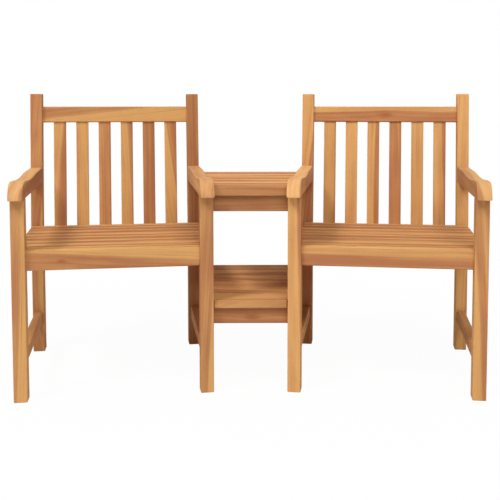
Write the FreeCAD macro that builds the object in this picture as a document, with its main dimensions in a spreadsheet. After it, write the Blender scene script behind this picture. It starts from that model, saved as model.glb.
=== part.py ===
"""Two-seat companion bench in teak: two slatted armchairs turned towards each other and a two-tier tea table.

The frame has +X to the right, +Y to the back and +Z up, with its origin on the ground in the middle of the
bench.  Left and right are as seen from the front.  Each left-hand chair piece is drawn in the chair's own
axes: x across from its outer legs, y back from the front of its front legs, z up.  The right-hand chair
mirrors the left.
"""
import FreeCAD
import Part
import math
import os
import Sketcher
from types import SimpleNamespace

# Driving sizes in millimetres, with angles in degrees.
SIZES = {
    # the plan of the bench
    "chair_turn": 8.2,
    "chair_width": 584,
    "table_front_gap": 220,
    # legs and posts
    "leg_width": 40,
    "front_leg_depth": 46,
    "front_leg_height": 594,
    "leg_to_post": 500,
    "post_depth": 50,
    "post_height": 900,
    "post_bend_height": 445,
    "post_lean": 49,
    # armrests
    "arm_width": 42,
    "arm_nose": 34,
    "arm_height": 50,
    "arm_dip_depth": 7,
    "arm_dip_from_front": 180,
    "arm_level_from_front": 390,
    # seat
    "seat_height": 445,
    "seat_slat_thickness": 20,
    "front_slat_width": 28.8,
    "seat_slat_gap": 8,
    "seat_slat_inset": 6,
    "seat_back_clearance": 10,
    "seat_slat_count": 7,
    "front_rail_setback": 12,
    "front_rail_thickness": 22,
    "front_rail_height": 60,
    "side_rail_thickness": 24,
    "side_rail_height": 58,
    # back
    "lower_rail_thickness": 24,
    "lower_rail_height": 54,
    "lower_rail_drop": 10,
    "top_rail_thickness": 26,
    "top_rail_height": 54,
    "top_rail_drop": 43,
    "back_slat_count": 6,
    "back_slat_width": 42,
    "back_slat_gap": 35.3,
    "back_slat_thickness": 14,
    "back_slat_housing": 15,
    # stretchers between the feet
    "stretcher_thickness": 26,
    "stretcher_height": 40,
    "stretcher_top": 140,
    # tea table
    "table_board_thickness": 26,
    "table_apron_height": 48,
    "shelf_height": 279,
    "shelf_board_thickness": 24,
    "shelf_apron_height": 50,
    "table_board_count": 6,
    "table_board_width": 85,
    "table_board_gap": 5.5,
    "table_front_inset": 10,
    "table_overhang": 14,
    "table_end_clearance": 2,
    "apron_thickness": 22,
    "bearer_thickness": 22,
    # joints
    "tenon_thickness": 10,
    "tenon_shoulder": 9,
    "cross_tenon_length": 22,
    "side_tenon_length": 16,
    "apron_tenon_length": 14,
    "arm_tenon_length": 24,
    "arm_tenon_height": 26,
    "leg_tenon_width": 22,
    "leg_tenon_height": 28,
    "joint_clearance": 0.2,
    "edge_ease": 2,
    # bolts and square nuts that draw the rails up to the legs
    "bolt_diameter": 6,
    "bolt_head_diameter": 11,
    "bolt_head_height": 5,
    "bolt_socket_across": 4,
    "bolt_socket_depth": 3,
    "bolt_recess_depth": 8,
    "nut_across": 12,
    "nut_thickness": 6,
    "nut_from_leg": 34,
    "bolt_past_nut": 4,
}

ACROSS = FreeCAD.Vector(1, 0, 0)
BACKWARDS = FreeCAD.Vector(0, 1, 0)
UPRIGHT = FreeCAD.Vector(0, 0, 1)
PLANES = {"x": "YZ_Plane", "y": "XZ_Plane", "z": "XY_Plane"}

# An edge runs along an axis where the cosine between them is over this.
ALONG_COSINE = 0.9
# The least volume in cubic millimetres that a cut has to take away.
LEAST_CUT = 1


class Size:
    """A size with its value now and the formula that ties it to the sheet."""

    def __init__(self, value, formula):
        self.value = value
        self.formula = formula

    def combine(self, sign, other, value):
        return Size(value, f"({self.formula} {sign} {other.formula})")

    def __add__(self, other):
        other = as_size(other)
        return self.combine("+", other, self.value + other.value)

    def __radd__(self, other):
        return as_size(other) + self

    def __sub__(self, other):
        other = as_size(other)
        return self.combine("-", other, self.value - other.value)

    def __rsub__(self, other):
        return as_size(other) - self

    def __mul__(self, other):
        other = as_size(other)
        return self.combine("*", other, self.value * other.value)

    def __rmul__(self, other):
        return as_size(other) * self

    def __truediv__(self, other):
        other = as_size(other)
        return self.combine("/", other, self.value / other.value)

    def __neg__(self):
        return as_size(0) - self


def as_size(number):
    """Return a plain number as a size, and a size as it is."""
    if isinstance(number, Size):
        return number
    return Size(float(number), repr(float(number)))


def cosine(angle):
    return Size(math.cos(math.radians(angle.value)), f"cos({angle.formula})")


def sine(angle):
    return Size(math.sin(math.radians(angle.value)), f"sin({angle.formula})")


def slope_angle(rise, run):
    """Return the angle in degrees whose tangent is rise over run."""
    degrees = math.degrees(math.atan2(rise.value, run.value))
    return Size(degrees, f"(atan({rise.formula} / {run.formula}) / 1deg)")


doc = FreeCAD.newDocument("CompanionBench")
sheet = doc.addObject("Spreadsheet::Sheet", "Sizes")
for row, (name, number) in enumerate(SIZES.items(), start=1):
    sheet.set(f"A{row}", name)
    sheet.set(f"B{row}", str(number))
    sheet.setAlias(f"B{row}", name)
doc.recompute()
dim = SimpleNamespace(**{name: Size(float(sheet.get(name)), f"Sizes.{name}") for name in SIZES})

# Lines that several pieces share.
zero = as_size(0)
turn_cos = cosine(dim.chair_turn)
turn_sin = sine(dim.chair_turn)
lean = slope_angle(dim.post_lean, dim.post_height - dim.post_bend_height)
lean_cos = cosine(lean)
lean_sin = sine(lean)
width = dim.chair_width
leg = dim.leg_width
post_front = dim.leg_to_post
post_back = dim.leg_to_post + dim.post_depth
arm_overhang = (dim.arm_width - leg) / 2
arm_under = dim.front_leg_height
arm_crest = dim.front_leg_height + dim.arm_height
slat_under = dim.seat_height - dim.seat_slat_thickness
front_rail_back = dim.front_rail_setback + dim.front_rail_thickness
front_slat_near = front_rail_back + dim.joint_clearance
front_slat_far = front_slat_near + dim.front_slat_width
slats_front = front_slat_far + dim.seat_slat_gap
slats_back = post_front - dim.seat_back_clearance
slat_pitch = (slats_back - front_slat_far) / dim.seat_slat_count
slat_width = slat_pitch - dim.seat_slat_gap
front_rail_middle = dim.front_rail_setback + dim.front_rail_thickness / 2
front_rail_under = dim.seat_height - dim.front_rail_height
post_middle = post_front + dim.post_depth / 2
lower_rail_top = dim.seat_height - dim.lower_rail_drop
lower_rail_under = lower_rail_top - dim.lower_rail_height
back_middle = dim.post_depth * lean_cos / 2
top_rail_upper = (dim.post_height - dim.top_rail_drop - dim.post_bend_height) / lean_cos
top_rail_lower = top_rail_upper - dim.top_rail_height
back_slat_near = back_middle - dim.back_slat_thickness / 2
back_slat_far = back_middle + dim.back_slat_thickness / 2
back_slat_pitch = dim.back_slat_width + dim.back_slat_gap
back_slats_span = dim.back_slat_count * back_slat_pitch - dim.back_slat_gap
back_slats_start = (width - back_slats_span) / 2
back_slat_foot = (lower_rail_top - dim.post_bend_height) / lean_cos - dim.back_slat_housing
back_slat_head = top_rail_lower + dim.back_slat_housing
side_rail_under = slat_under - dim.side_rail_height
stretcher_under = dim.stretcher_top - dim.stretcher_height
table_corner = width * turn_sin
board_pitch = dim.table_board_width + dim.table_board_gap
boards_front = table_corner + dim.table_front_inset
front_apron_face = boards_front + dim.table_overhang
back_apron_front = table_corner + post_middle * turn_cos - dim.apron_thickness / 2
table_under = dim.front_leg_height
table_top = table_under + dim.table_board_thickness
shelf_under = dim.shelf_height - dim.shelf_board_thickness
bench_front = zero - arm_overhang * turn_sin - dim.arm_nose * turn_cos
bench_back = table_corner + (post_back + dim.post_lean) * turn_cos
bench_middle = (bench_front + bench_back) / 2
chair_origin_x = zero - dim.table_front_gap / 2 - width * turn_cos


def leaned(across, along):
    """Return y and z of a point given in from the front face and up the line of the leaning posts."""
    y = post_front + across * lean_cos + along * lean_sin
    z = dim.post_bend_height - across * lean_sin + along * lean_cos
    return y, z


def post_face(height):
    """Return how far back the leaning front face of a post is at a height."""
    leaning_height = dim.post_height - dim.post_bend_height
    return post_front + (height - dim.post_bend_height) * dim.post_lean / leaning_height


def plan_point(x, y):
    """Return a left-hand chair point in the plan of the bench."""
    return chair_origin_x + x * turn_cos - y * turn_sin, x * turn_sin + y * turn_cos


def table_half_width(y, clearance):
    """Return half the room between the two chairs at a depth, less a clearance to each chair."""
    return dim.table_front_gap / 2 + (y - table_corner) * turn_sin / turn_cos - clearance / turn_cos


def box_outline(left, low, right, high):
    """Return the four corners of an upright rectangle."""
    return [(left, low), (right, low), (right, high), (left, high)]


def leaned_outline(near, low, far, high):
    """Return the four corners of a rectangle that leans with the posts."""
    return [leaned(near, low), leaned(far, low), leaned(far, high), leaned(near, high)]


cuts = []
pieces = []


def new_piece(label):
    """Start a body for one piece."""
    body = doc.addObject("PartDesign::Body", label)
    body.Label = label
    pieces.append(body)
    return body


def place_in_chair(body):
    """Set a left-hand chair piece in its place in the bench."""
    turned = FreeCAD.Rotation(UPRIGHT, dim.chair_turn.value)
    body.Placement = FreeCAD.Placement(FreeCAD.Vector(), turned)
    body.setExpression("Placement.Base.x", chair_origin_x.formula)
    body.setExpression("Placement.Base.y", (zero - bench_middle).formula)
    body.setExpression("Placement.Rotation.Angle", dim.chair_turn.formula)


def place_in_bench(body):
    """Set a table piece in its place in the bench."""
    body.setExpression("Placement.Base.y", (zero - bench_middle).formula)


def new_sketch(body, axis, start):
    """Start a sketch square to an axis of its body, a distance along it."""
    plane = next(item for item in body.Origin.OriginFeatures if item.Role == PLANES[axis])
    sketch = body.newObject("Sketcher::SketchObject", f"{body.Label}_sketch")
    sketch.AttachmentSupport = (plane, [""])
    sketch.MapMode = "FlatFace"
    offset = -start if axis == "y" else start
    sketch.setExpression("AttachmentOffset.Base.z", offset.formula)
    return sketch


def bind(sketch, kind, *where_and_size):
    """Add a sketch constraint and tie it to a size."""
    *where, size = where_and_size
    index = sketch.addConstraint(Sketcher.Constraint(kind, *where, size.value))
    sketch.setExpression(f"Constraints[{index}]", size.formula)


def vector(point):
    return FreeCAD.Vector(point[0].value, point[1].value, 0)


def arc_between(start, end, radius, hollow):
    """Return the lesser arc from one point to the next, bulging left of the way unless it is hollow."""
    chord = end - start
    half = chord.Length / 2
    rise = radius - math.sqrt(max(radius * radius - half * half, 0))
    left = FreeCAD.Vector(-chord.y, chord.x, 0).normalize()
    middle = (start + end) / 2 + left * (-rise if hollow else rise)
    return Part.Arc(start, middle, end)


def draw_outline(sketch, points, arcs):
    """Draw a closed outline of lines, with arcs of given radius on some sides."""
    count = len(points)
    for index in range(count):
        start = vector(points[index])
        end = vector(points[(index + 1) % count])
        if index in arcs:
            radius, hollow = arcs[index]
            sketch.addGeometry(arc_between(start, end, radius.value, hollow), False)
        else:
            sketch.addGeometry(Part.LineSegment(start, end), False)
    ends = [side_ends(sketch, index, vector(points[index])) for index in range(count)]
    for index in range(count):
        following = (index + 1) % count
        joint = Sketcher.Constraint("Coincident", index, ends[index][1], following, ends[following][0])
        sketch.addConstraint(joint)
        bind(sketch, "DistanceX", -1, 1, index, ends[index][0], points[index][0])
        bind(sketch, "DistanceY", -1, 1, index, ends[index][0], points[index][1])
    for index, (radius, hollow) in arcs.items():
        bind(sketch, "Radius", index, radius)


def side_ends(sketch, index, start):
    """Return the sketch's numbers for the first and last point of one side of an outline."""
    first_is_start = (sketch.getPoint(index, 1) - start).Length < (sketch.getPoint(index, 2) - start).Length
    return (1, 2) if first_is_start else (2, 1)


def add_block(body, axis, points, start, end, arcs=None):
    """Add an outline's block to a body, from start to end along an axis."""
    sketch = new_sketch(body, axis, as_size(start))
    draw_outline(sketch, points, arcs or {})
    pad = body.newObject("PartDesign::Pad", f"{body.Label}_block")
    pad.Profile = sketch
    pad.setExpression("Length", (end - start).formula)
    pad.Reversed = axis == "y"
    return pad


def cut_sketch(body, axis, sketch, start, end):
    """Cut what a sketch outlines from a body, from start to end along an axis."""
    before = body.Tip
    pocket = body.newObject("PartDesign::Pocket", f"{body.Label}_cut")
    pocket.Profile = sketch
    pocket.setExpression("Length", (end - start).formula)
    pocket.Reversed = axis != "y"
    cuts.append((before, pocket))
    return pocket


def cut_block(body, axis, points, start, end):
    """Cut an outline's block from a body."""
    sketch = new_sketch(body, axis, as_size(start))
    draw_outline(sketch, points, {})
    return cut_sketch(body, axis, sketch, as_size(start), as_size(end))


def cut_bore(body, axis, centre, diameter, start, end):
    """Cut a round bore from a body."""
    sketch = new_sketch(body, axis, as_size(start))
    sketch.addGeometry(Part.Circle(vector(centre), FreeCAD.Vector(0, 0, 1), diameter.value / 2), False)
    bind(sketch, "DistanceX", -1, 1, 0, 3, centre[0])
    bind(sketch, "DistanceY", -1, 1, 0, 3, centre[1])
    bind(sketch, "Diameter", 0, diameter)
    return cut_sketch(body, axis, sketch, as_size(start), as_size(end))


def repeat(body, feature, axis, count, pitch):
    """Repeat a feature of a body along one of its axes."""
    pattern = body.newObject("PartDesign::LinearPattern", f"{body.Label}_row")
    pattern.Originals = [feature]
    line = next(item for item in body.Origin.OriginFeatures if item.Role == f"{axis.upper()}_Axis")
    pattern.Direction = (line, [""])
    pattern.setExpression("Occurrences", count.formula)
    pattern.setExpression("Length", ((count - 1) * pitch).formula)
    body.Tip = pattern
    return pattern


def ease_edges(body, wanted):
    """Ease the edges of a piece that a hand would meet."""
    doc.recompute()
    blank = body.Tip
    names = [f"Edge{number}" for number, edge in enumerate(blank.Shape.Edges, start=1) if wanted(edge)]
    chamfer = body.newObject("PartDesign::Chamfer", f"{body.Label}_eased")
    chamfer.Base = (blank, names)
    chamfer.setExpression("Size", dim.edge_ease.formula)
    return chamfer


def every_edge(edge):
    return True


def runs_along(axis):
    """Return a test for the edges that run along an axis."""
    def test(edge):
        direction = edge.Vertexes[-1].Point - edge.Vertexes[0].Point
        return abs(direction.normalize().dot(axis)) > ALONG_COSINE
    return test


def grown(outline_box, clearance):
    """Return a rectangle's left, low, right and high sides, moved out by a clearance."""
    left, low, right, high = outline_box
    return left - clearance, low - clearance, right + clearance, high + clearance


# Tenon sections, each as left, low, right and high in the plane square to the tenon.
side_middle = leg / 2
side_tenon = (side_middle - dim.tenon_thickness / 2, side_rail_under + dim.tenon_shoulder,
              side_middle + dim.tenon_thickness / 2, slat_under - dim.tenon_shoulder)
stretcher_tenon = (side_middle - dim.tenon_thickness / 2, stretcher_under + dim.tenon_shoulder,
                   side_middle + dim.tenon_thickness / 2, dim.stretcher_top - dim.tenon_shoulder)
arm_tenon = (side_middle - dim.tenon_thickness / 2, arm_under + dim.tenon_shoulder,
             side_middle + dim.tenon_thickness / 2, arm_under + dim.tenon_shoulder + dim.arm_tenon_height)
leg_tenon = (side_middle - dim.leg_tenon_width / 2, (dim.front_leg_depth - dim.leg_tenon_width) / 2,
             side_middle + dim.leg_tenon_width / 2, (dim.front_leg_depth + dim.leg_tenon_width) / 2)
front_rail_tenon = (front_rail_middle - dim.tenon_thickness / 2, front_rail_under + dim.tenon_shoulder,
                    front_rail_middle + dim.tenon_thickness / 2, dim.seat_height - dim.tenon_shoulder)
lower_rail_tenon = (post_middle - dim.tenon_thickness / 2, lower_rail_under + dim.tenon_shoulder,
                    post_middle + dim.tenon_thickness / 2, lower_rail_top - dim.tenon_shoulder)
top_rail_tenon = (back_middle - dim.tenon_thickness / 2, top_rail_lower + dim.tenon_shoulder,
                  back_middle + dim.tenon_thickness / 2, top_rail_upper - dim.tenon_shoulder)


def apron_tenon(face, lower, upper):
    """Return an apron tenon's section, as depth along the chair's side and height."""
    middle = (face + dim.apron_thickness / 2 - table_corner) / turn_cos
    half = dim.tenon_thickness / 2
    return middle - half, lower + dim.tenon_shoulder, middle + half, upper - dim.tenon_shoulder


table_apron_under = table_under - dim.table_apron_height
shelf_apron_under = shelf_under - dim.shelf_apron_height
apron_levels = ((table_apron_under, table_under), (shelf_apron_under, shelf_under))

# Bolt lines, each as depth and height.
front_bolt = (front_rail_middle, (front_rail_under + dim.seat_height) / 2)
lower_bolt = (post_middle, (lower_rail_under + lower_rail_top) / 2)
nut_seat = leg + dim.nut_from_leg
bolt_end = nut_seat + dim.nut_thickness + dim.bolt_past_nut
bolt_bore = dim.bolt_diameter + 2 * dim.joint_clearance
head_bore = dim.bolt_head_diameter + 2 * dim.joint_clearance


def mirrored_side(inner, near, far):
    """Return the span of a feature on the outer side, or the like span on the inner side."""
    if inner:
        return width - far, width - near
    return near, far


def cut_bolt_way(body, inner, line):
    """Cut a bolt's clearance bore and the recess for its head through a leg or post."""
    start, end = mirrored_side(inner, zero, leg)
    cut_bore(body, "x", line, bolt_bore, start, end)
    start, end = mirrored_side(inner, zero, dim.bolt_recess_depth)
    cut_bore(body, "x", line, head_bore, start, end)


def across_side(inner, section):
    """Return a section's left and right sides on the outer or the inner side of the chair."""
    left, low, right, high = section
    left, right = mirrored_side(inner, left, right)
    return left, low, right, high


def cut_mortise(body, inner, section, start, end):
    """Cut a mortise for a tenon that runs from front to back, on the outer or the inner side."""
    outline = box_outline(*grown(across_side(inner, section), dim.joint_clearance))
    cut_block(body, "y", outline, start, end)


def cut_cross_mortise(body, inner, outline):
    """Cut a mortise for a rail that runs across the chair, in the face that looks at the seat."""
    start, end = mirrored_side(inner, leg - dim.cross_tenon_length - dim.joint_clearance, leg)
    cut_block(body, "x", outline, start, end)


def cut_apron_mortises(body, face):
    """Cut the mortises for the two table aprons in the face that looks at the table."""
    for lower, upper in apron_levels:
        outline = box_outline(*grown(apron_tenon(face, lower, upper), dim.joint_clearance))
        cut_block(body, "x", outline, width - dim.apron_tenon_length - dim.joint_clearance, width)


def make_front_leg(label, inner):
    """A square front leg with a tenon into the armrest and mortises for the rails."""
    body = new_piece(label)
    start, end = mirrored_side(inner, zero, leg)
    add_block(body, "z", box_outline(start, zero, end, dim.front_leg_depth), zero, dim.front_leg_height)
    ease_edges(body, every_edge)
    tenon_root = dim.front_leg_height - dim.edge_ease
    outline = box_outline(*across_side(inner, leg_tenon))
    add_block(body, "z", outline, tenon_root, dim.front_leg_height + dim.leg_tenon_height)
    shoulder = dim.front_leg_depth
    reach = dim.front_leg_depth - dim.side_tenon_length - dim.joint_clearance
    cut_mortise(body, inner, side_tenon, reach, shoulder)
    cut_mortise(body, inner, stretcher_tenon, reach, shoulder)
    cut_cross_mortise(body, inner, box_outline(*grown(front_rail_tenon, dim.joint_clearance)))
    cut_bolt_way(body, inner, front_bolt)
    if inner:
        cut_apron_mortises(body, front_apron_face)
    place_in_chair(body)


def make_back_post(label, inner):
    """A back post, upright to the seat and leaning above it, with mortises for rails and armrest."""
    body = new_piece(label)
    start, end = mirrored_side(inner, zero, leg)
    outline = [
        (post_front, zero),
        (post_back, zero),
        (post_back, dim.post_bend_height),
        (post_back + dim.post_lean, dim.post_height),
        (post_front + dim.post_lean, dim.post_height),
        (post_front, dim.post_bend_height),
    ]
    add_block(body, "x", outline, start, end)
    bend = dim.post_bend_height.value
    ease_edges(body, lambda edge: abs(edge.CenterOfMass.z - bend) > dim.edge_ease.value)
    reach = post_front + dim.side_tenon_length + dim.joint_clearance
    cut_mortise(body, inner, side_tenon, post_front, reach)
    cut_mortise(body, inner, stretcher_tenon, post_front, reach)
    arm_end = post_face(arm_under) + dim.arm_tenon_length
    cut_mortise(body, inner, arm_tenon, post_front, arm_end + dim.joint_clearance)
    cut_cross_mortise(body, inner, box_outline(*grown(lower_rail_tenon, dim.joint_clearance)))
    cut_cross_mortise(body, inner, leaned_outline(*grown(top_rail_tenon, dim.joint_clearance)))
    cut_bolt_way(body, inner, lower_bolt)
    if inner:
        cut_apron_mortises(body, back_apron_front)
    place_in_chair(body)


def make_armrest(label, inner):
    """An armrest with a rounded nose, a shallow dip for the forearm and a tenon into the back post."""
    body = new_piece(label)
    start, end = mirrored_side(inner, zero - arm_overhang, leg + arm_overhang)
    nose_top = dim.arm_height - dim.arm_nose
    dip = dim.arm_dip_from_front
    level = dim.arm_level_from_front
    front_run = dip - nose_top
    back_run = level - dip
    fall = dim.arm_dip_depth
    front_radius = (front_run * front_run + fall * fall) / (4 * fall)
    back_radius = (back_run * back_run + fall * fall) / (4 * fall)
    outline = [
        (zero - dim.arm_nose, arm_under),
        (nose_top, arm_crest),
        ((nose_top + dip) / 2, arm_crest - fall / 2),
        (dip, arm_crest - fall),
        ((dip + level) / 2, arm_crest - fall / 2),
        (level, arm_crest),
        (post_face(arm_crest), arm_crest),
        (post_face(arm_under), arm_under),
    ]
    arcs = {
        0: (dim.arm_height, False),
        1: (front_radius, False),
        2: (front_radius, True),
        3: (back_radius, True),
        4: (back_radius, False),
    }
    add_block(body, "x", outline, start, end, arcs)
    side_length = dim.arm_nose.value
    ease_edges(body, lambda edge: edge.Length > side_length and not runs_along(ACROSS)(edge))
    outline = box_outline(*across_side(inner, arm_tenon))
    add_block(body, "y", outline, level, post_face(arm_under) + dim.arm_tenon_length)
    outline = box_outline(*grown(across_side(inner, leg_tenon), dim.joint_clearance))
    cut_block(body, "z", outline, arm_under, arm_under + dim.leg_tenon_height + dim.joint_clearance)
    place_in_chair(body)


def make_side_board(label, inner, thickness, section, lower, upper):
    """A board from front leg to back post with a tenon at each end."""
    body = new_piece(label)
    half = thickness / 2
    start, end = mirrored_side(inner, side_middle - half, side_middle + half)
    add_block(body, "y", box_outline(start, lower, end, upper), dim.front_leg_depth, post_front)
    ease_edges(body, runs_along(BACKWARDS))
    first = dim.front_leg_depth - dim.side_tenon_length
    last = post_front + dim.side_tenon_length
    add_block(body, "y", box_outline(*across_side(inner, section)), first, last)
    place_in_chair(body)


def make_cross_rail(label, outline, tenon_outline):
    """A rail across the chair with a tenon at each end."""
    body = new_piece(label)
    add_block(body, "x", outline, leg, width - leg)
    ease_edges(body, runs_along(ACROSS))
    tenon_end = leg - dim.cross_tenon_length
    add_block(body, "x", tenon_outline, tenon_end, width - tenon_end)
    return body


def cut_nut_slots(body, bolt_line, back_face):
    """Cut a bolt bore and the slot for its nut at each end of a rail, open to the rail's back face."""
    depth, height = bolt_line
    half_nut = dim.nut_across / 2 + dim.joint_clearance
    outline = box_outline(depth - half_nut, height - half_nut, back_face, height + half_nut)
    for inner in (False, True):
        start, end = mirrored_side(inner, leg - dim.cross_tenon_length, nut_seat)
        cut_bore(body, "x", bolt_line, bolt_bore, start, end)
        start, end = mirrored_side(inner, nut_seat, bolt_end + dim.joint_clearance)
        cut_block(body, "x", outline, start, end)


def make_front_rail(label):
    """The rail across the front of the seat."""
    outline = box_outline(dim.front_rail_setback, front_rail_under, front_rail_back, dim.seat_height)
    body = make_cross_rail(label, outline, box_outline(*front_rail_tenon))
    cut_nut_slots(body, front_bolt, front_rail_back)
    place_in_chair(body)


def make_lower_back_rail(label):
    """The upright rail behind the seat that holds the feet of the back slats."""
    near = post_middle - dim.lower_rail_thickness / 2
    far = post_middle + dim.lower_rail_thickness / 2
    outline = box_outline(near, lower_rail_under, far, lower_rail_top)
    body = make_cross_rail(label, outline, box_outline(*lower_rail_tenon))
    cut_nut_slots(body, lower_bolt, far)
    cut_slat_housings(body, back_slat_foot - dim.joint_clearance, back_slat_foot + 2 * dim.back_slat_housing)
    place_in_chair(body)


def make_top_rail(label):
    """The leaning rail at the top of the back that holds the heads of the back slats."""
    half = dim.top_rail_thickness / 2
    outline = leaned_outline(back_middle - half, top_rail_lower, back_middle + half, top_rail_upper)
    body = make_cross_rail(label, outline, leaned_outline(*top_rail_tenon))
    cut_slat_housings(body, top_rail_lower - dim.back_slat_housing, back_slat_head + dim.joint_clearance)
    place_in_chair(body)


def cut_slat_housings(body, low, high):
    """Cut a row of housings for the back slats, from a low to a high point along the line of the slats."""
    near = back_slat_near - dim.joint_clearance
    far = back_slat_far + dim.joint_clearance
    outline = leaned_outline(near, low, far, high)
    start = back_slats_start - dim.joint_clearance
    end = back_slats_start + dim.back_slat_width + dim.joint_clearance
    housing = cut_block(body, "x", outline, start, end)
    repeat(body, housing, "x", dim.back_slat_count, back_slat_pitch)


def make_back_slats(label):
    """The row of upright slats in a chair back."""
    body = new_piece(label)
    outline = leaned_outline(back_slat_near, back_slat_foot, back_slat_far, back_slat_head)
    slat = add_block(body, "x", outline, back_slats_start, back_slats_start + dim.back_slat_width)
    repeat(body, slat, "x", dim.back_slat_count, back_slat_pitch)
    span = (back_slat_head - back_slat_foot).value
    ease_edges(body, lambda edge: edge.Length > span - dim.edge_ease.value)
    place_in_chair(body)


def make_seat_slats(label):
    """The row of full seat slats, resting on the side rails."""
    body = new_piece(label)
    left = dim.seat_slat_inset
    right = width - dim.seat_slat_inset
    outline = box_outline(left, slats_front, right, slats_front + slat_width)
    slat = add_block(body, "z", outline, slat_under, dim.seat_height)
    repeat(body, slat, "y", dim.seat_slat_count, slat_pitch)
    ease_edges(body, every_edge)
    place_in_chair(body)


def make_front_slat(label):
    """The narrow slat behind the front rail, notched round both front legs."""
    body = new_piece(label)
    left = dim.seat_slat_inset
    right = width - dim.seat_slat_inset
    notch = dim.front_leg_depth + dim.joint_clearance
    inside = leg + dim.joint_clearance
    outline = [
        (inside, front_slat_near),
        (width - inside, front_slat_near),
        (width - inside, notch),
        (right, notch),
        (right, front_slat_far),
        (left, front_slat_far),
        (left, notch),
        (inside, notch),
    ]
    add_block(body, "z", outline, slat_under, dim.seat_height)
    ease_edges(body, runs_along(ACROSS))
    place_in_chair(body)


def make_table_boards(stem, lower, upper, clearance):
    """Tapered boards across the table, each cut to the room between the chairs."""
    for index in range(int(dim.table_board_count.value)):
        body = new_piece(f"{stem}_{index + 1}")
        near = boards_front + index * board_pitch
        far = near + dim.table_board_width
        near_half = table_half_width(near, clearance)
        far_half = table_half_width(far, clearance)
        outline = [(-near_half, near), (near_half, near), (far_half, far), (-far_half, far)]
        add_block(body, "z", outline, lower, upper)
        ease_edges(body, every_edge)
        place_in_bench(body)


def make_apron(label, face, lower, upper):
    """A table apron cut to fit between the chairs, with a tenon into the leg at each end."""
    body = new_piece(label)
    far = face + dim.apron_thickness
    near_half = table_half_width(face, zero)
    far_half = table_half_width(far, zero)
    outline = [(-near_half, face), (near_half, face), (far_half, far), (-far_half, far)]
    add_block(body, "z", outline, lower, upper)
    ease_edges(body, runs_along(ACROSS))
    near_tenon, tenon_lower, far_tenon, tenon_upper = apron_tenon(face, lower, upper)
    root = width + dim.tenon_shoulder
    tip = width - dim.apron_tenon_length
    corners = [(tip, near_tenon), (root, near_tenon), (root, far_tenon), (tip, far_tenon)]
    left_outline = [plan_point(x, y) for x, y in corners]
    right_outline = [(-x, y) for x, y in reversed(left_outline)]
    add_block(body, "z", left_outline, tenon_lower, tenon_upper)
    add_block(body, "z", right_outline, tenon_lower, tenon_upper)
    place_in_bench(body)


def make_bearer(label, lower, upper):
    """A bearer along the left chair's side, between the two aprons, that carries the board ends."""
    body = new_piece(label)
    near = front_apron_face + dim.apron_thickness
    far = back_apron_front
    outline = [
        (-table_half_width(near, zero), near),
        (-table_half_width(near, dim.bearer_thickness), near),
        (-table_half_width(far, dim.bearer_thickness), far),
        (-table_half_width(far, zero), far),
    ]
    add_block(body, "z", outline, lower, upper)
    ease_edges(body, runs_along(BACKWARDS))
    place_in_bench(body)


def make_left_chair():
    """Every piece of the left-hand chair."""
    for side, inner in (("outer", False), ("inner", True)):
        make_front_leg(f"left_{side}_front_leg", inner)
        make_back_post(f"left_{side}_back_post", inner)
        make_armrest(f"left_{side}_armrest", inner)
        make_side_board(f"left_{side}_side_rail", inner, dim.side_rail_thickness, side_tenon,
                        side_rail_under, slat_under)
        make_side_board(f"left_{side}_stretcher", inner, dim.stretcher_thickness, stretcher_tenon,
                        stretcher_under, dim.stretcher_top)
    make_front_rail("left_front_rail")
    make_lower_back_rail("left_lower_back_rail")
    make_top_rail("left_top_rail")
    make_back_slats("left_back_slats")
    make_front_slat("left_front_seat_slat")
    make_seat_slats("left_seat_slats")


def make_table():
    """The boards and the aprons of the tea table, and its left-hand bearers."""
    make_table_boards("table_top_board", table_under, table_top, arm_overhang + dim.table_end_clearance)
    make_table_boards("shelf_board", shelf_under, dim.shelf_height, dim.table_end_clearance)
    make_apron("table_front_apron", front_apron_face, table_apron_under, table_under)
    make_apron("table_back_apron", back_apron_front, table_apron_under, table_under)
    make_apron("shelf_front_apron", front_apron_face, shelf_apron_under, shelf_under)
    make_apron("shelf_back_apron", back_apron_front, shelf_apron_under, shelf_under)
    make_bearer("left_table_bearer", table_apron_under, table_under)
    make_bearer("left_shelf_bearer", shelf_apron_under, shelf_under)


def mirror_left_pieces():
    """Make each right-hand piece as the mirror image of the left-hand one."""
    for source in [piece for piece in pieces if piece.Label.startswith("left_")]:
        label = source.Label.replace("left_", "right_", 1)
        image = doc.addObject("Part::Mirroring", label)
        image.Label = label
        image.Source = source
        image.Base = FreeCAD.Vector()
        image.Normal = ACROSS
        pieces.append(image)


def new_cylinder(name, diameter, length, start):
    """A round bar along x from a start."""
    bar = doc.addObject("Part::Cylinder", name)
    bar.setExpression("Radius", (diameter / 2).formula)
    bar.setExpression("Height", length.formula)
    bar.Placement = FreeCAD.Placement(FreeCAD.Vector(), FreeCAD.Rotation(BACKWARDS, 90))
    bar.setExpression("Placement.Base.x", start.formula)
    return bar


def make_bolt():
    """One socket-head bolt along x, with the seat of its head at the origin."""
    shank_length = bolt_end - dim.bolt_recess_depth
    head = new_cylinder("bolt_head", dim.bolt_head_diameter, dim.bolt_head_height, -dim.bolt_head_height)
    shank = new_cylinder("bolt_shank", dim.bolt_diameter, shank_length, zero)
    blank = doc.addObject("Part::Fuse", "bolt_blank")
    blank.Base = head
    blank.Tool = shank
    socket = doc.addObject("Part::Prism", "bolt_socket")
    socket.Polygon = 6
    socket.setExpression("Circumradius", (dim.bolt_socket_across / math.sqrt(3)).formula)
    socket.setExpression("Height", dim.bolt_socket_depth.formula)
    socket.Placement = FreeCAD.Placement(FreeCAD.Vector(), FreeCAD.Rotation(BACKWARDS, 90))
    socket.setExpression("Placement.Base.x", (-dim.bolt_head_height).formula)
    bolt = doc.addObject("Part::Cut", "bolt")
    bolt.Base = blank
    bolt.Tool = socket
    return bolt


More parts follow.
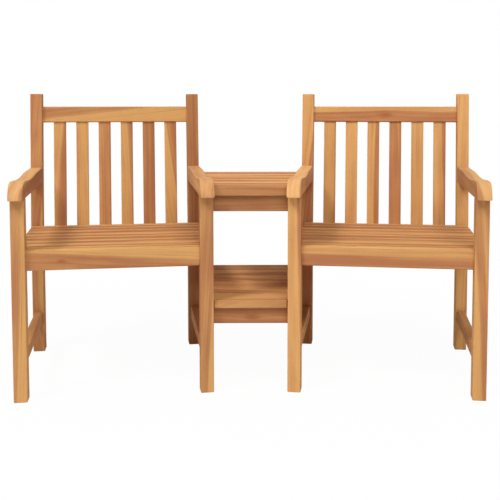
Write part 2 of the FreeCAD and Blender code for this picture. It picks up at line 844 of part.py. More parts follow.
def make_nut():
    """One square nut along x, with the face that seats on the rail at the origin."""
    block = doc.addObject("Part::Box", "nut_block")
    block.setExpression("Length", dim.nut_thickness.formula)
    block.setExpression("Width", dim.nut_across.formula)
    block.setExpression("Height", dim.nut_across.formula)
    block.setExpression("Placement.Base.y", (-dim.nut_across / 2).formula)
    block.setExpression("Placement.Base.z", (-dim.nut_across / 2).formula)
    way = new_cylinder("nut_way", bolt_bore, 3 * dim.nut_thickness, -dim.nut_thickness)
    nut = doc.addObject("Part::Cut", "nut")
    nut.Base = block
    nut.Tool = way
    return nut


def group_of(label, source, depth_in):
    """One node with a fastener at every bolt line of both chairs, a depth in from each leg's outside."""
    chair = doc.getObject("left_front_rail").Placement
    half_turn = FreeCAD.Rotation(UPRIGHT, 180)
    solids = []
    for y, z in (front_bolt, lower_bolt):
        for inner in (False, True):
            x = width.value - depth_in.value if inner else depth_in.value
            rotation = half_turn if inner else FreeCAD.Rotation()
            place = FreeCAD.Placement(FreeCAD.Vector(x, y.value, z.value), rotation)
            solid = source.Shape.copy()
            solid.Placement = chair.multiply(place)
            solids.append(solid)
            solids.append(solid.mirror(FreeCAD.Vector(), ACROSS))
    group = doc.addObject("Part::Feature", label)
    group.Label = label
    group.Shape = Part.makeCompound(solids)
    pieces.append(group)


def check_pieces():
    """Stop if an object failed, a cut took nothing away or a piece is not a sound solid."""
    for item in doc.Objects:
        if {"Invalid", "Error"} & set(item.State):
            raise RuntimeError(f"{item.Label} failed: {item.State}")
    for before, cut in cuts:
        if before.Shape.Volume - cut.Shape.Volume < LEAST_CUT:
            raise RuntimeError(f"{cut.Label} cuts nothing")
    for piece in pieces:
        if piece.Shape.isNull() or not piece.Shape.isValid() or not piece.Shape.Solids:
            raise RuntimeError(f"{piece.Label} is not a sound solid")


make_left_chair()
make_table()
mirror_left_pieces()
bolt = make_bolt()
nut = make_nut()
doc.recompute()
group_of("frame_bolts", bolt, dim.bolt_recess_depth)
group_of("square_nuts", nut, nut_seat)
doc.recompute()
check_pieces()

os.makedirs("parts", exist_ok=True)
for piece in pieces:
    piece.Shape.exportStep(f"parts/{piece.Label}.step")
    print(piece.Label, len(piece.Shape.Solids), round(piece.Shape.Volume / 1000, 1), "cm3")
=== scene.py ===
"""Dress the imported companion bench: teak boards with their grain, steel bolts, a white studio and the camera.

Every size is in metres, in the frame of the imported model. Each chair's boards are drawn in the chair's own
axes: x across from its outer legs, y back from the front of its front legs, z up.
"""
import logging
import math
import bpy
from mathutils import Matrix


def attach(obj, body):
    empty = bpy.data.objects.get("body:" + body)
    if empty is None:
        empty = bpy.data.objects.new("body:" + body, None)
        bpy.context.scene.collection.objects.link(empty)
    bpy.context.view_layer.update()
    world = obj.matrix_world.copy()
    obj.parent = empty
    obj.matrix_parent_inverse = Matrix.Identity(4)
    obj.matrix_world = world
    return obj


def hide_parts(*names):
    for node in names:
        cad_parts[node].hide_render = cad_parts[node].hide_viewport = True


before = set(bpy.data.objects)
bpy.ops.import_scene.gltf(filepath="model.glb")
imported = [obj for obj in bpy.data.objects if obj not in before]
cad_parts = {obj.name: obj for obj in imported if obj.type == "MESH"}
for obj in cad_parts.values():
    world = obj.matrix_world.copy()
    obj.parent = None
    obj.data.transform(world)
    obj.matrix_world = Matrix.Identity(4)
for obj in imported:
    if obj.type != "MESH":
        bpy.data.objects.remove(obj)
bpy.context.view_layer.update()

import zlib
from dataclasses import dataclass
from enum import Enum
from typing import Iterable, Sequence

import bmesh
import bpy
from mathutils import Matrix, Vector

BODY = "root"
LOGGER = logging.getLogger("companion_bench")

# The cosines over which a face counts as flat, and an edge or an end as lying along an axis.
FLAT_COSINE = 0.985
ALONG_COSINE = 0.9
# The steps of every rounded edge.
EDGE_STEPS = 3
# A slat's end: places in from it, as shares of its easing, and the share of the full section there.
SLAT_END = ((0.0, 0.95), (0.3, 0.985), (1.0, 1.0))
# The centre of a log lies this far beside its board and behind it.
LOG_AWAY = 0.15
LOG_DEPTH = 0.04
# A board is cut at one of so many places along its log, this far apart.
LOG_PLACES = 997
LOG_STEP = 0.037
# The heartwood's radius in a log that is heartwood wherever a board is cut from it.
ALL_HEART = 1.0

Point2 = tuple[float, float]
Point3 = tuple[float, float, float]
Socket = bpy.types.NodeSocket


class Slot(Enum):
    """Material slots of the record."""

    LEG = "teak_leg"
    ARM = "teak_arm"
    RAIL = "teak_rail"
    SLAT = "teak_slat"
    BOARD = "teak_board"
    BOLT = "bolt_steel"


class Side(Enum):
    """One of the two chairs, as seen from the front."""

    LEFT = "left"
    RIGHT = "right"


class Place(Enum):
    """A side of a chair: away from the table, or beside it."""

    OUTER = "outer"
    INNER = "inner"


class Axis(Enum):
    """An axis of a chair or of the table."""

    X = 0
    Y = 1
    Z = 2

    def vector(self) -> Vector:
        """Return the axis as a unit vector."""
        return Vector([float(index == self.value) for index in range(3)])


class Lay(Enum):
    """The axis that a board's grain runs along, and the axis that its show face looks along."""

    UPRIGHT = (Axis.Z, Axis.Y)
    ARM = (Axis.Y, Axis.Z)
    SIDE = (Axis.Y, Axis.X)
    CROSS = (Axis.X, Axis.Y)
    FLAT = (Axis.X, Axis.Z)


class Eased(Enum):
    """Which edges of a board are rounded."""

    ALL = "all"
    ALONG_GRAIN = "along the grain"
    RIM = "round both faces of the outline"


@dataclass(frozen=True)
class Timber:
    """How one board was sawn from its log.

    The heartwood is russet and the sapwood golden. `heart` is the heartwood's radius. The centre of the log
    lies `across` from the middle of the board and `depth` behind it. The grain drifts across by `slant` for
    each metre along the board and, short of its middle, by `bow` for each square metre. `tone` makes a board
    lighter and `gold` more golden. A knot has its place along and across from the middle, and its radius.
    """

    heart: float = 0.0
    across: float = -LOG_AWAY
    depth: float = LOG_DEPTH
    slant: float = 0.0
    bow: float = 0.0
    tone: float = 1.0
    gold: float = 0.0
    knot: Point3 = (0.0, 0.0, 0.0)

    def look(self) -> Vector:
        """Return the heartwood's radius, the lightness and the golden share as one vector."""
        return Vector((self.heart, self.tone, self.gold))

    def shift(self, name: str) -> Vector:
        """Return the way from the middle of a named board to its part of the log."""
        along = zlib.crc32(name.encode()) % LOG_PLACES * LOG_STEP
        return Vector((along, -self.across, self.depth))

    def drift(self, along: float) -> float:
        """Return how far across the grain has drifted at a place along the board."""
        return self.slant * along + self.bow * min(along, 0.0) ** 2

    def knot_in_log(self, name: str) -> Vector:
        """Find the knot of a named board in its log.

        Args:
            name: The board's name.

        Returns:
            The knot's place along and across, and its radius.
        """
        along, across, radius = self.knot
        shift = self.shift(name)
        return Vector((along + shift.x, across + self.drift(along) + shift.y, radius))


def russet(**sawn: object) -> Timber:
    """Return a board that is heartwood all over."""
    return Timber(ALL_HEART, **sawn)


def split(edge: float, red_left: bool = True, depth: float = LOG_DEPTH, **sawn: object) -> Timber:
    """Return a board with a line along it at `edge`, russet on one side of it and golden on the other."""
    side = 1 if red_left else -1
    return Timber(math.hypot(LOG_AWAY + side * edge, depth), -LOG_AWAY * side, depth, **sawn)


TIMBERS: dict[str, Timber] = {
    "left_outer_front_leg": split(0.002, slant=-0.04, tone=0.95, gold=0.28),
    "left_inner_front_leg": split(0.0145, slant=-0.05, tone=0.94, gold=0.2),
    "right_inner_front_leg": split(-0.0175, slant=-0.025, tone=1.03, gold=0.1),
    "right_outer_front_leg": split(0.005, slant=-0.06, tone=0.94, gold=0.3),
    "left_outer_back_post": split(0.004, slant=-0.1, bow=-0.33, tone=1.02, gold=0.02),
    "left_inner_back_post": russet(tone=0.86),
    # Its russet lower part is partly the wood's own colour and partly painted shade, darkening the post below
    # the armrest where the armrest's shadow falls.
    "right_inner_back_post": split(0.010, slant=0.1, tone=0.99),
    "right_outer_back_post": split(-0.024, slant=0.03, tone=1.04, gold=0.05),
    "left_outer_armrest": split(-0.012, tone=1.03, gold=0.08),
    "left_inner_armrest": russet(tone=1.06, gold=0.36),
    # The russet on its seat-side face is partly painted shade, and the raised tone on its golden nose is partly
    # painted highlight standing for the nose's sheen.
    "right_inner_armrest": split(0.014, red_left=False, depth=0.0, tone=1.12, gold=0.12),
    "right_outer_armrest": split(0.004, slant=-0.04, tone=0.98, gold=0.3),
    "left_front_rail": split(-0.006, slant=-0.062, red_left=False, tone=0.94, knot=(-0.15, 0.004, 0.006)),
    "right_front_rail": split(-0.002, slant=0.011, red_left=False, tone=0.97, gold=0.02),
    "left_top_rail": split(-0.012, slant=0.1, tone=0.95, gold=0.32),
    "right_top_rail": split(-0.006, red_left=False, tone=1.02, gold=0.1, knot=(-0.004, 0.002, 0.012)),
    "left_lower_back_rail": russet(gold=0.3),
    "right_lower_back_rail": split(0.004, red_left=False),
    "left_outer_side_rail": russet(gold=0.2),
    "left_inner_side_rail": split(0.004),
    "right_inner_side_rail": russet(gold=0.3),
    "right_outer_side_rail": split(-0.006),
    "left_outer_stretcher": russet(tone=1.08, gold=0.3),
    "left_inner_stretcher": russet(gold=0.25),
    "right_inner_stretcher": russet(gold=0.3),
    "right_outer_stretcher": russet(gold=0.35),
    "left_front_seat_slat": split(0.002),
    "right_front_seat_slat": split(-0.002),
    "table_top_board_1": split(0.034, slant=0.03, tone=0.9, gold=0.22),
    "table_top_board_2": split(-0.004, slant=-0.06, tone=1.06),
    "table_top_board_3": split(0.012, slant=0.08, tone=1.08, knot=(-0.040, 0.030, 0.006)),
    "table_top_board_4": split(0.0, slant=0.05, tone=1.07),
    "table_top_board_5": split(-0.014, slant=-0.1, tone=1.06),
    "table_top_board_6": split(0.010, slant=0.04, tone=1.05),
    "shelf_board_1": split(-0.012, slant=-0.09, tone=0.93, gold=0.3),
    "shelf_board_2": split(0.004, slant=0.16, tone=1.1, gold=0.22),
    "shelf_board_3": split(0.014, slant=-0.14, tone=1.12, gold=0.28, knot=(-0.044, 0.028, 0.008)),
    "shelf_board_4": split(0.006, slant=0.2, tone=1.1, gold=0.26),
    "shelf_board_5": split(0.0, slant=-0.12, tone=1.08, gold=0.24),
    "shelf_board_6": russet(tone=1.04, gold=0.25),
    # Its low tone is partly darker wood and partly painted shade from the top boards that overhang it.
    "table_front_apron": russet(slant=0.03, tone=0.79),
    "table_back_apron": split(0.006),
    "shelf_front_apron": russet(tone=0.88, gold=0.05, knot=(0.004, 0.006, 0.011)),
    "shelf_back_apron": split(-0.006),
    "left_table_bearer": split(0.002),
    "right_table_bearer": russet(gold=0.3),
    "left_shelf_bearer": russet(gold=0.2),
    "right_shelf_bearer": split(-0.004),
}

BACK_SLAT_TIMBERS: dict[Side, list[Timber]] = {
    Side.LEFT: [
        split(0.001, slant=-0.07, red_left=False, tone=1.04),
        split(-0.024, slant=0.03, tone=0.99),
        russet(tone=1.05, gold=0.22),
        split(0.012, slant=0.04, red_left=False, tone=0.95),
        russet(tone=0.95),
        split(0.014, slant=0.14, red_left=False, tone=0.97, gold=0.1),
    ],
    Side.RIGHT: [
        split(-0.010, slant=-0.04, tone=1.01),
        split(-0.022),
        russet(tone=1.07, gold=0.14),
        split(0.0, slant=0.01, tone=1.02),
        Timber(tone=1.05),
        split(-0.012, slant=0.01, tone=0.94),
    ],
}

SEAT_SLAT_TIMBERS: dict[Side, list[Timber]] = {
    Side.LEFT: [
        split(-0.012, slant=0.01, tone=0.94),
        split(-0.002, slant=-0.01, tone=0.93),
        split(0.006, tone=0.97),
        split(-0.010, slant=0.02, tone=0.95),
        split(0.002, slant=-0.02, tone=0.92),
        split(0.010, slant=0.01, tone=0.96),
        split(-0.006, tone=0.93),
    ],
    Side.RIGHT: [
        split(-0.010, slant=-0.01, tone=0.97),
        split(0.012, slant=0.01, tone=0.95),
        split(0.004, tone=0.94),
        split(-0.012, slant=0.015, tone=0.98),
        split(-0.002, slant=-0.02, tone=0.97),
        split(0.012, tone=0.95),
        split(-0.004, slant=0.015, tone=0.96),
    ],
}


class Wire:
    """An output of a node, on which sums add the nodes that work them out."""

    def __init__(self, graph: "Graph", socket: Socket) -> None:
        """Take an output socket of a graph."""
        self.graph = graph
        self.socket = socket

    def __add__(self, other: "Feed") -> "Wire":
        """Return the sum."""
        return self.graph.math("ADD", self, other)

    def __sub__(self, other: "Feed") -> "Wire":
        """Return the difference."""
        return self.graph.math("SUBTRACT", self, other)

    def __mul__(self, other: "Feed") -> "Wire":
        """Return the product."""
        return self.graph.math("MULTIPLY", self, other)

    def __truediv__(self, other: "Feed") -> "Wire":
        """Return the quotient."""
        return self.graph.math("DIVIDE", self, other)

    def __pow__(self, other: "Feed") -> "Wire":
        """Return the power."""
        return self.graph.math("POWER", self, other)


Feed = Wire | float | str | Sequence[float]
Feeds = dict[int | str, Feed]


class Graph:
    """A node tree, with short ways to add nodes and wire them up."""

    def __init__(self, tree: bpy.types.NodeTree) -> None:
        """Work on one tree."""
        self.tree = tree

    def feed(self, node: bpy.types.Node, feeds: Feeds) -> None:
        """Feed inputs of a node.

        Args:
            node: The node.
            feeds: A wire to link or a value to set for each input, by the input's name or number.
        """
        for key, value in feeds.items():
            if isinstance(value, Wire):
                self.tree.links.new(value.socket, node.inputs[key])
            else:
                node.inputs[key].default_value = value

    def add(self, kind: str, feeds: Feeds | None = None, **settings: object) -> bpy.types.Node:
        """Add a node.

        Args:
            kind: The node's type.
            feeds: What to feed its inputs.
            settings: Properties of the node.

        Returns:
            The new node.
        """
        node = self.tree.nodes.new(kind)
        for name, value in settings.items():
            setattr(node, name, value)
        self.feed(node, feeds or {})
        return node

    def wire(self, kind: str, feeds: Feeds | None = None, output: int | str = 0, **settings: object) -> Wire:
        """Add a node and return one of its outputs."""
        return Wire(self, self.add(kind, feeds, **settings).outputs[output])

    def math(self, operation: str, *values: Feed, clamped: bool = False) -> Wire:
        """Return the result of a sum on one or two values."""
        feeds = dict(enumerate(values))
        return self.wire("ShaderNodeMath", feeds, operation=operation, use_clamp=clamped)

    def length(self, first: Wire, second: Wire) -> Wire:
        """Return the length of a line from its parts along two axes."""
        return self.math("SQRT", first ** 2.0 + second ** 2.0)

    def vector_math(self, operation: str, *values: Feed) -> Wire:
        """Return the result of a sum on vectors."""
        node = self.add("ShaderNodeVectorMath", dict(enumerate(values)), operation=operation)
        return Wire(self, next(socket for socket in node.outputs if socket.enabled))

    def parts(self, vector: Wire) -> list[Wire]:
        """Return the three parts of a vector."""
        return [Wire(self, part) for part in self.add("ShaderNodeSeparateXYZ", {0: vector}).outputs]

    def join(self, *parts: Feed) -> Wire:
        """Return a vector made of parts, with 0 for each that is left out."""
        return self.wire("ShaderNodeCombineXYZ", dict(enumerate(parts)))

    def remap(self, value: Wire, low: Feed, high: Feed, start: float, end: float) -> Wire:
        """Return a value eased smoothly from one range to another."""
        feeds = {"Value": value, "From Min": low, "From Max": high, "To Min": start, "To Max": end}
        return self.wire("ShaderNodeMapRange", feeds, interpolation_type="SMOOTHSTEP")

    def mix(self, share: Feed, first: Feed, second: Feed, blend: str = "MIX") -> Wire:
        """Return two colours mixed by a share of the second."""
        # A Mix node repeats its sockets for numbers, vectors and colours. 6, 7 and output 2 are the colours.
        feeds = {0: share, 6: first, 7: second}
        return self.wire("ShaderNodeMix", feeds, 2, data_type="RGBA", blend_type=blend)

    def attribute(self, name: str) -> Wire:
        """Return a vector attribute of the board that is shaded."""
        return self.wire("ShaderNodeAttribute", output="Vector", attribute_name=name)

    def bump(self, height: Wire, strength: float, distance: float) -> Wire:
        """Return the normal of a surface with a height on it."""
        return self.wire("ShaderNodeBump", {"Strength": strength, "Distance": distance, "Height": height})

    def seen_directly(self) -> Wire:
        """Find the rays that show the background as it is.

        Returns:
            1 for such rays, and 0 for those that light the bench.
        """
        path = self.add("ShaderNodeLightPath").outputs
        kinds = ("Camera", "Glossy", "Transmission")
        camera, glossy, through = (Wire(self, path[f"Is {kind} Ray"]) for kind in kinds)
        return self.math("MAXIMUM", camera, self.math("MAXIMUM", glossy, through))

    def shade(self, feeds: Feeds) -> None:
        """Feed the inputs of a material's shader."""
        self.feed(self.tree.nodes["Principled BSDF"], feeds)


def new_group(name: str, kind: str, inputs: dict[str, str],
              outputs: dict[str, str]) -> tuple[Graph, dict[str, Wire], bpy.types.Node]:
    """Start a node group.

    Args:
        name: The group's name.
        kind: The type of its tree.
        inputs: A socket type for each input, by the input's name.
        outputs: The same for the outputs.

    Returns:
        The group's graph, its inputs as wires by name, and its output node.
    """
    tree = bpy.data.node_groups.new(name, kind)
    for way, sockets in (("INPUT", inputs), ("OUTPUT", outputs)):
        for label, socket in sockets.items():
            tree.interface.new_socket(label, in_out=way, socket_type=socket)
    graph = Graph(tree)
    given = {socket.name: Wire(graph, socket) for socket in graph.add("NodeGroupInput").outputs}
    return graph, given, graph.add("NodeGroupOutput")


def new_material(slot: Slot) -> tuple[bpy.types.Material, Graph]:
    """Start the material of a slot.

    Args:
        slot: The slot, which names the material.

    Returns:
        The material and the graph of its nodes.
    """
    made = bpy.data.materials.new(slot.value)
    made.use_nodes = True
    return made, Graph(made.node_tree)


@dataclass(frozen=True)
class Figure:
    """A noise: how often it changes along each axis, its finer layers, its swing and the layers' share."""

    pitch: Point3
    detail: float = 2.0
    swing: float = 1.0
    layer_share: float = 0.55

    def noise(self, place: Wire) -> Wire:
        """Read the noise at a place.

        Args:
            place: The place in metres.

        Returns:
            The noise, from 0 to 1.
        """
        stretched = place.graph.vector_math("MULTIPLY", place, self.pitch)
        feeds = {"Vector": stretched, "Scale": 1.0, "Detail": self.detail, "Roughness": self.layer_share}
        return place.graph.wire("ShaderNodeTexNoise", feeds, noise_dimensions="3D")

    def swung(self, noise: Wire) -> Wire:
        """Return a noise from 0 to 1 as a swing about 0."""
        return (noise - 0.5) * self.swing

    def at(self, place: Wire) -> Wire:
        """Return the noise at a place as a swing about 0."""
        return self.swung(self.noise(place))


@dataclass(frozen=True)
class TeakGrain:
    """How teak's growth rings, streaks, pores, knots and worn edges are drawn.

    The figures broad, bands and lines are read along the log and by the radius of the growth ring, and the
    others along the log, across it and in depth.
    """

    sway: Figure = Figure((1.3, 9, 9), swing=0.022)
    ripple: Figure = Figure((7, 60, 60), swing=0.0035)
    broad: Figure = Figure((0.8, 62, 1), swing=1.5)
    bands: Figure = Figure((1.1, 170, 1), detail=3.0, swing=0.9)
    lines: Figure = Figure((2.4, 640, 1), detail=3.0, swing=0.3)
    fibre: Figure = Figure((26, 1500, 1500))
    pores: Figure = Figure((70, 2100, 2100), detail=0.0)
    mottle: Figure = Figure((3.4, 18, 18), swing=1.35)
    pore_range: Point2 = (0.66, 0.8)
    pore_shade: float = 0.8
    pore_roughness: float = 0.15
    heart_edge: float = 0.0045
    heart_to_sap: Point2 = (0.12, 0.88)
    streak_range: Point2 = (0.56, 0.8)
    streak_cover: float = 0.8
    band_roughness: float = 0.16
    knot_squeeze: float = 0.42
    knot_fading: float = -0.6
    knot_rim: float = 1.5
    knot_cover: float = 0.75
    least_knot: float = 1e-5
    end_shade: float = 0.82
    edge_polish: float = 0.06
    warmth: Point3 = (0.65, 1.05, 1.25)
    fibre_height: float = 0.5
    line_height: float = 0.35

    def knot(self, along: Wire, across: Wire) -> tuple[Wire, Wire]:
        """Draw a board's knot.

        Args:
            along: Where in the log a point is, along it.
            across: Where it is across.

        Returns:
            How far the knot pushes the rings aside, and its cover, from 1 in the middle to 0.
        """
        graph = along.graph
        knot_along, knot_across, radius = graph.parts(graph.attribute("knot"))
        size = graph.math("MAXIMUM", radius, self.least_knot)
        away = graph.length((along - knot_along) * self.knot_squeeze, across - knot_across) / size
        swell = size * graph.math("EXPONENT", away * self.knot_fading)
        return swell, graph.remap(away, 0.0, self.knot_rim, 1.0, 0.0)

    def group(self) -> bpy.types.NodeTree:
        """Build the shader group that draws the wood.

        It reads four attributes of a board: grain, its place in the log; look, the heartwood's radius and the
        board's lightness and golden share; knot, a knot's place and radius; and worn, which is 1, 0, 0 on a
        rounded edge and 0, 1, 0 on end grain.

        Returns:
            The node group.
        """
        colour, number = "NodeSocketColor", "NodeSocketFloat"
        inputs = dict.fromkeys(("Heart Colour", "Sap Colour", "Line Colour"), colour)
        inputs |= dict.fromkeys(("Streaks", "Fibre", "Roughness", "Edge Wear"), number)
        outputs = {"Colour": colour, "Roughness": number, "Height": number}
        graph, given, result = new_group("teak", "ShaderNodeTree", inputs, outputs)
        place = graph.attribute("grain")
        along, across, depth = graph.parts(place)
        heart, tone, gold = graph.parts(graph.attribute("look"))
        edge, end, _ = graph.parts(graph.attribute("worn"))

        swell, knot = self.knot(along, across)
        ring = graph.length(across, depth) + self.sway.at(place) + (self.ripple.at(place) - swell)
        rings = graph.join(along, ring)
        bands = self.bands.noise(rings)
        lines = self.lines.noise(rings)
        fibre = self.fibre.noise(place)
        pores = graph.remap(self.pores.noise(place), *self.pore_range, 0.0, 1.0)

        sapwood = graph.remap(ring, heart - self.heart_edge, heart + self.heart_edge, *self.heart_to_sap)
        wander = self.broad.at(rings) + (self.bands.swung(bands) + self.mottle.at(place))
        golden = graph.math("ADD", sapwood, wander * given["Streaks"] + gold, clamped=True)
        tint = graph.mix(golden, given["Heart Colour"], given["Sap Colour"])
        streak = graph.remap(bands, *self.streak_range, 0.0, self.streak_cover) * given["Streaks"]
        for cover in (streak, knot * self.knot_cover):
            tint = graph.mix(cover, tint, given["Line Colour"])
        fine = self.lines.swung(lines) + self.fibre.swung(fibre) * given["Fibre"]
        shade = (fine + 1.0) * graph.remap(pores, 0.0, 1.0, 1.0, self.pore_shade)
        shade = shade * graph.remap(end, 0.0, 1.0, 1.0, self.end_shade)
        level = tone * (edge * given["Edge Wear"] + 1.0)
        warm = graph.join(*(shade ** power * level for power in self.warmth))

        rough = given["Roughness"] + pores * self.pore_roughness + (bands - 0.5) * self.band_roughness
        graph.feed(result, {
            "Colour": graph.mix(1.0, tint, warm, "MULTIPLY"),
            "Roughness": rough - edge * self.edge_polish,
            "Height": fibre * self.fibre_height - pores + lines * self.line_height,
        })
        return graph.tree


@dataclass(frozen=True)
class TeakFinish:
    """An oiled teak finish."""

    slot: Slot
    heart: Point3 = (0.43, 0.172, 0.074)
    sap: Point3 = (0.68, 0.364, 0.131)
    line: Point3 = (0.34, 0.118, 0.048)
    streaks: float = 1.0
    fibre: float = 0.16
    roughness: float = 0.72
    edge_wear: float = 0.05
    gloss: float = 0.06
    bump: float = 0.35
    bump_depth: float = 0.0004

    def material(self, teak: bpy.types.NodeTree) -> bpy.types.Material:
        """Build the material.

        Args:
            teak: The group that draws the wood.

        Returns:
            The material.
        """
        made, graph = new_material(self.slot)
        feeds = {
            "Heart Colour": (*self.heart, 1),
            "Sap Colour": (*self.sap, 1),
            "Line Colour": (*self.line, 1),
            "Streaks": self.streaks,
            "Fibre": self.fibre,
            "Roughness": self.roughness,
            "Edge Wear": self.edge_wear,
        }
        wood = graph.add("ShaderNodeGroup", feeds, node_tree=teak)
        colour, roughness, height = (Wire(graph, socket) for socket in wood.outputs)
        graph.shade({
            "Base Color": colour,
            "Roughness": roughness,
            "Specular IOR Level": self.gloss,
            "Normal": graph.bump(height, self.bump, self.bump_depth),
        })
        return made


@dataclass(frozen=True)
class SteelFinish:
    """Plain stainless steel, turned and a little dull."""

    slot: Slot = Slot.BOLT
    bright: Point3 = (0.56, 0.55, 0.53)
    dull: Point3 = (0.42, 0.40, 0.37)
    dull_range: Point2 = (0.3, 0.7)
    dull_cover: float = 0.5
    roughness: float = 0.34
    turning: Figure = Figure((2500, 260, 260))
    clouding: Figure = Figure((90, 90, 90), swing=0.3)
    bump: float = 0.2
    bump_depth: float = 0.0001

    def material(self) -> bpy.types.Material:
        """Build the material.

        Returns:
            The material.
        """
        made, graph = new_material(self.slot)
        place = graph.wire("ShaderNodeTexCoord", None, "Object")
        clouds = self.clouding.noise(place)
        cover = graph.remap(clouds, *self.dull_range, 0.0, self.dull_cover)
        graph.shade({
            "Base Color": graph.mix(cover, (*self.bright, 1), (*self.dull, 1)),
            "Metallic": 1.0,
            "Roughness": self.clouding.swung(clouds) + self.roughness,
            "Normal": graph.bump(self.turning.noise(place), self.bump, self.bump_depth),
        })
        return made


class Finishes:
    """The finished materials, one for each slot."""

    def __init__(self) -> None:
        """Build every material."""
        teak = TeakGrain().group()
        kinds = (
            TeakFinish(Slot.LEG),
            # The armrests' paler sap colour is partly the wood's own colour and partly painted highlight
            # standing for the sheen on their rounded noses.
            TeakFinish(Slot.ARM, sap=(0.68, 0.378, 0.152), roughness=0.64),
            TeakFinish(Slot.RAIL),
            TeakFinish(Slot.SLAT),
            TeakFinish(Slot.BOARD),
        )
        self.made = {kind.slot: kind.material(teak) for kind in kinds}
        self.made[Slot.BOLT] = SteelFinish().material()

    def put_on(self, piece: bpy.types.Object, slot: Slot) -> None:
        """Give a piece the material of a slot."""
        piece.data.materials.clear()
        piece.data.materials.append(self.made[slot])


def mesh_object(name: str, mesh: bmesh.types.BMesh) -> bpy.types.Object:
    """Put a mesh into the scene, and free its working copy.

    Args:
        name: The name of the new object.
        mesh: The working copy.

    Returns:
        The new object, at the origin.
    """
    bmesh.ops.recalc_face_normals(mesh, faces=mesh.faces)
    data = bpy.data.meshes.new(name)
    mesh.to_mesh(data)
    mesh.free()
    made = bpy.data.objects.new(name, data)
    bpy.context.scene.collection.objects.link(made)
    return made


def bake(piece: bpy.types.Object) -> None:
    """Turn what a piece's modifiers show into its plain mesh, and remove them.

    Args:
        piece: The piece.
    """
    graph = bpy.context.evaluated_depsgraph_get()
    shown = piece.evaluated_get(graph)
    old = piece.data
    baked = bpy.data.meshes.new_from_object(shown, preserve_all_data_layers=True, depsgraph=graph)
    piece.modifiers.clear()
    piece.data = baked
    baked.name = piece.name
    bpy.data.meshes.remove(old)


def store(mesh: bpy.types.Mesh, name: str, domain: str, values: list[float]) -> None:
    """Store a vector attribute on a mesh."""
    attribute = mesh.attributes.new(name, "FLOAT_VECTOR", domain)
    attribute.data.foreach_set("vector", values)


def finish_piece(piece: bpy.types.Object, node: str, slot: Slot, finishes: Finishes) -> None:
    """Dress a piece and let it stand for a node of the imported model.

    Args:
        piece: The new piece.
        node: The node that it replaces.
        slot: Its material slot.
        finishes: The materials.
    """
    finishes.put_on(piece, slot)
    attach(piece, BODY)
    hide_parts(node)
    LOGGER.info("%s stands for %s", piece.name, node)


@dataclass(frozen=True)
class Recess:
    """A round recess for a bolt's head in a face square to x."""

    centre: Point2
    face: float
    diameter: float = 0.0114
    depth: float = 0.008
    sides: int = 48

    def cutter(self, into: Matrix) -> bpy.types.Object:
        """Make a closed cylinder that fills the recess and stands out of its face.

        Args:
            into: The way from the chair's axes to the bench's.

        Returns:
            The cylinder.
        """
        mesh = bmesh.new()
        radius = self.diameter / 2
        turned = Matrix.Translation((self.face, *self.centre)) @ Matrix.Rotation(math.pi / 2, 4, "Y")
        bmesh.ops.create_cone(mesh, cap_ends=True, segments=self.sides, radius1=radius, radius2=radius,
                              depth=2 * self.depth, matrix=into @ turned)
        return mesh_object("recess_cutter", mesh)


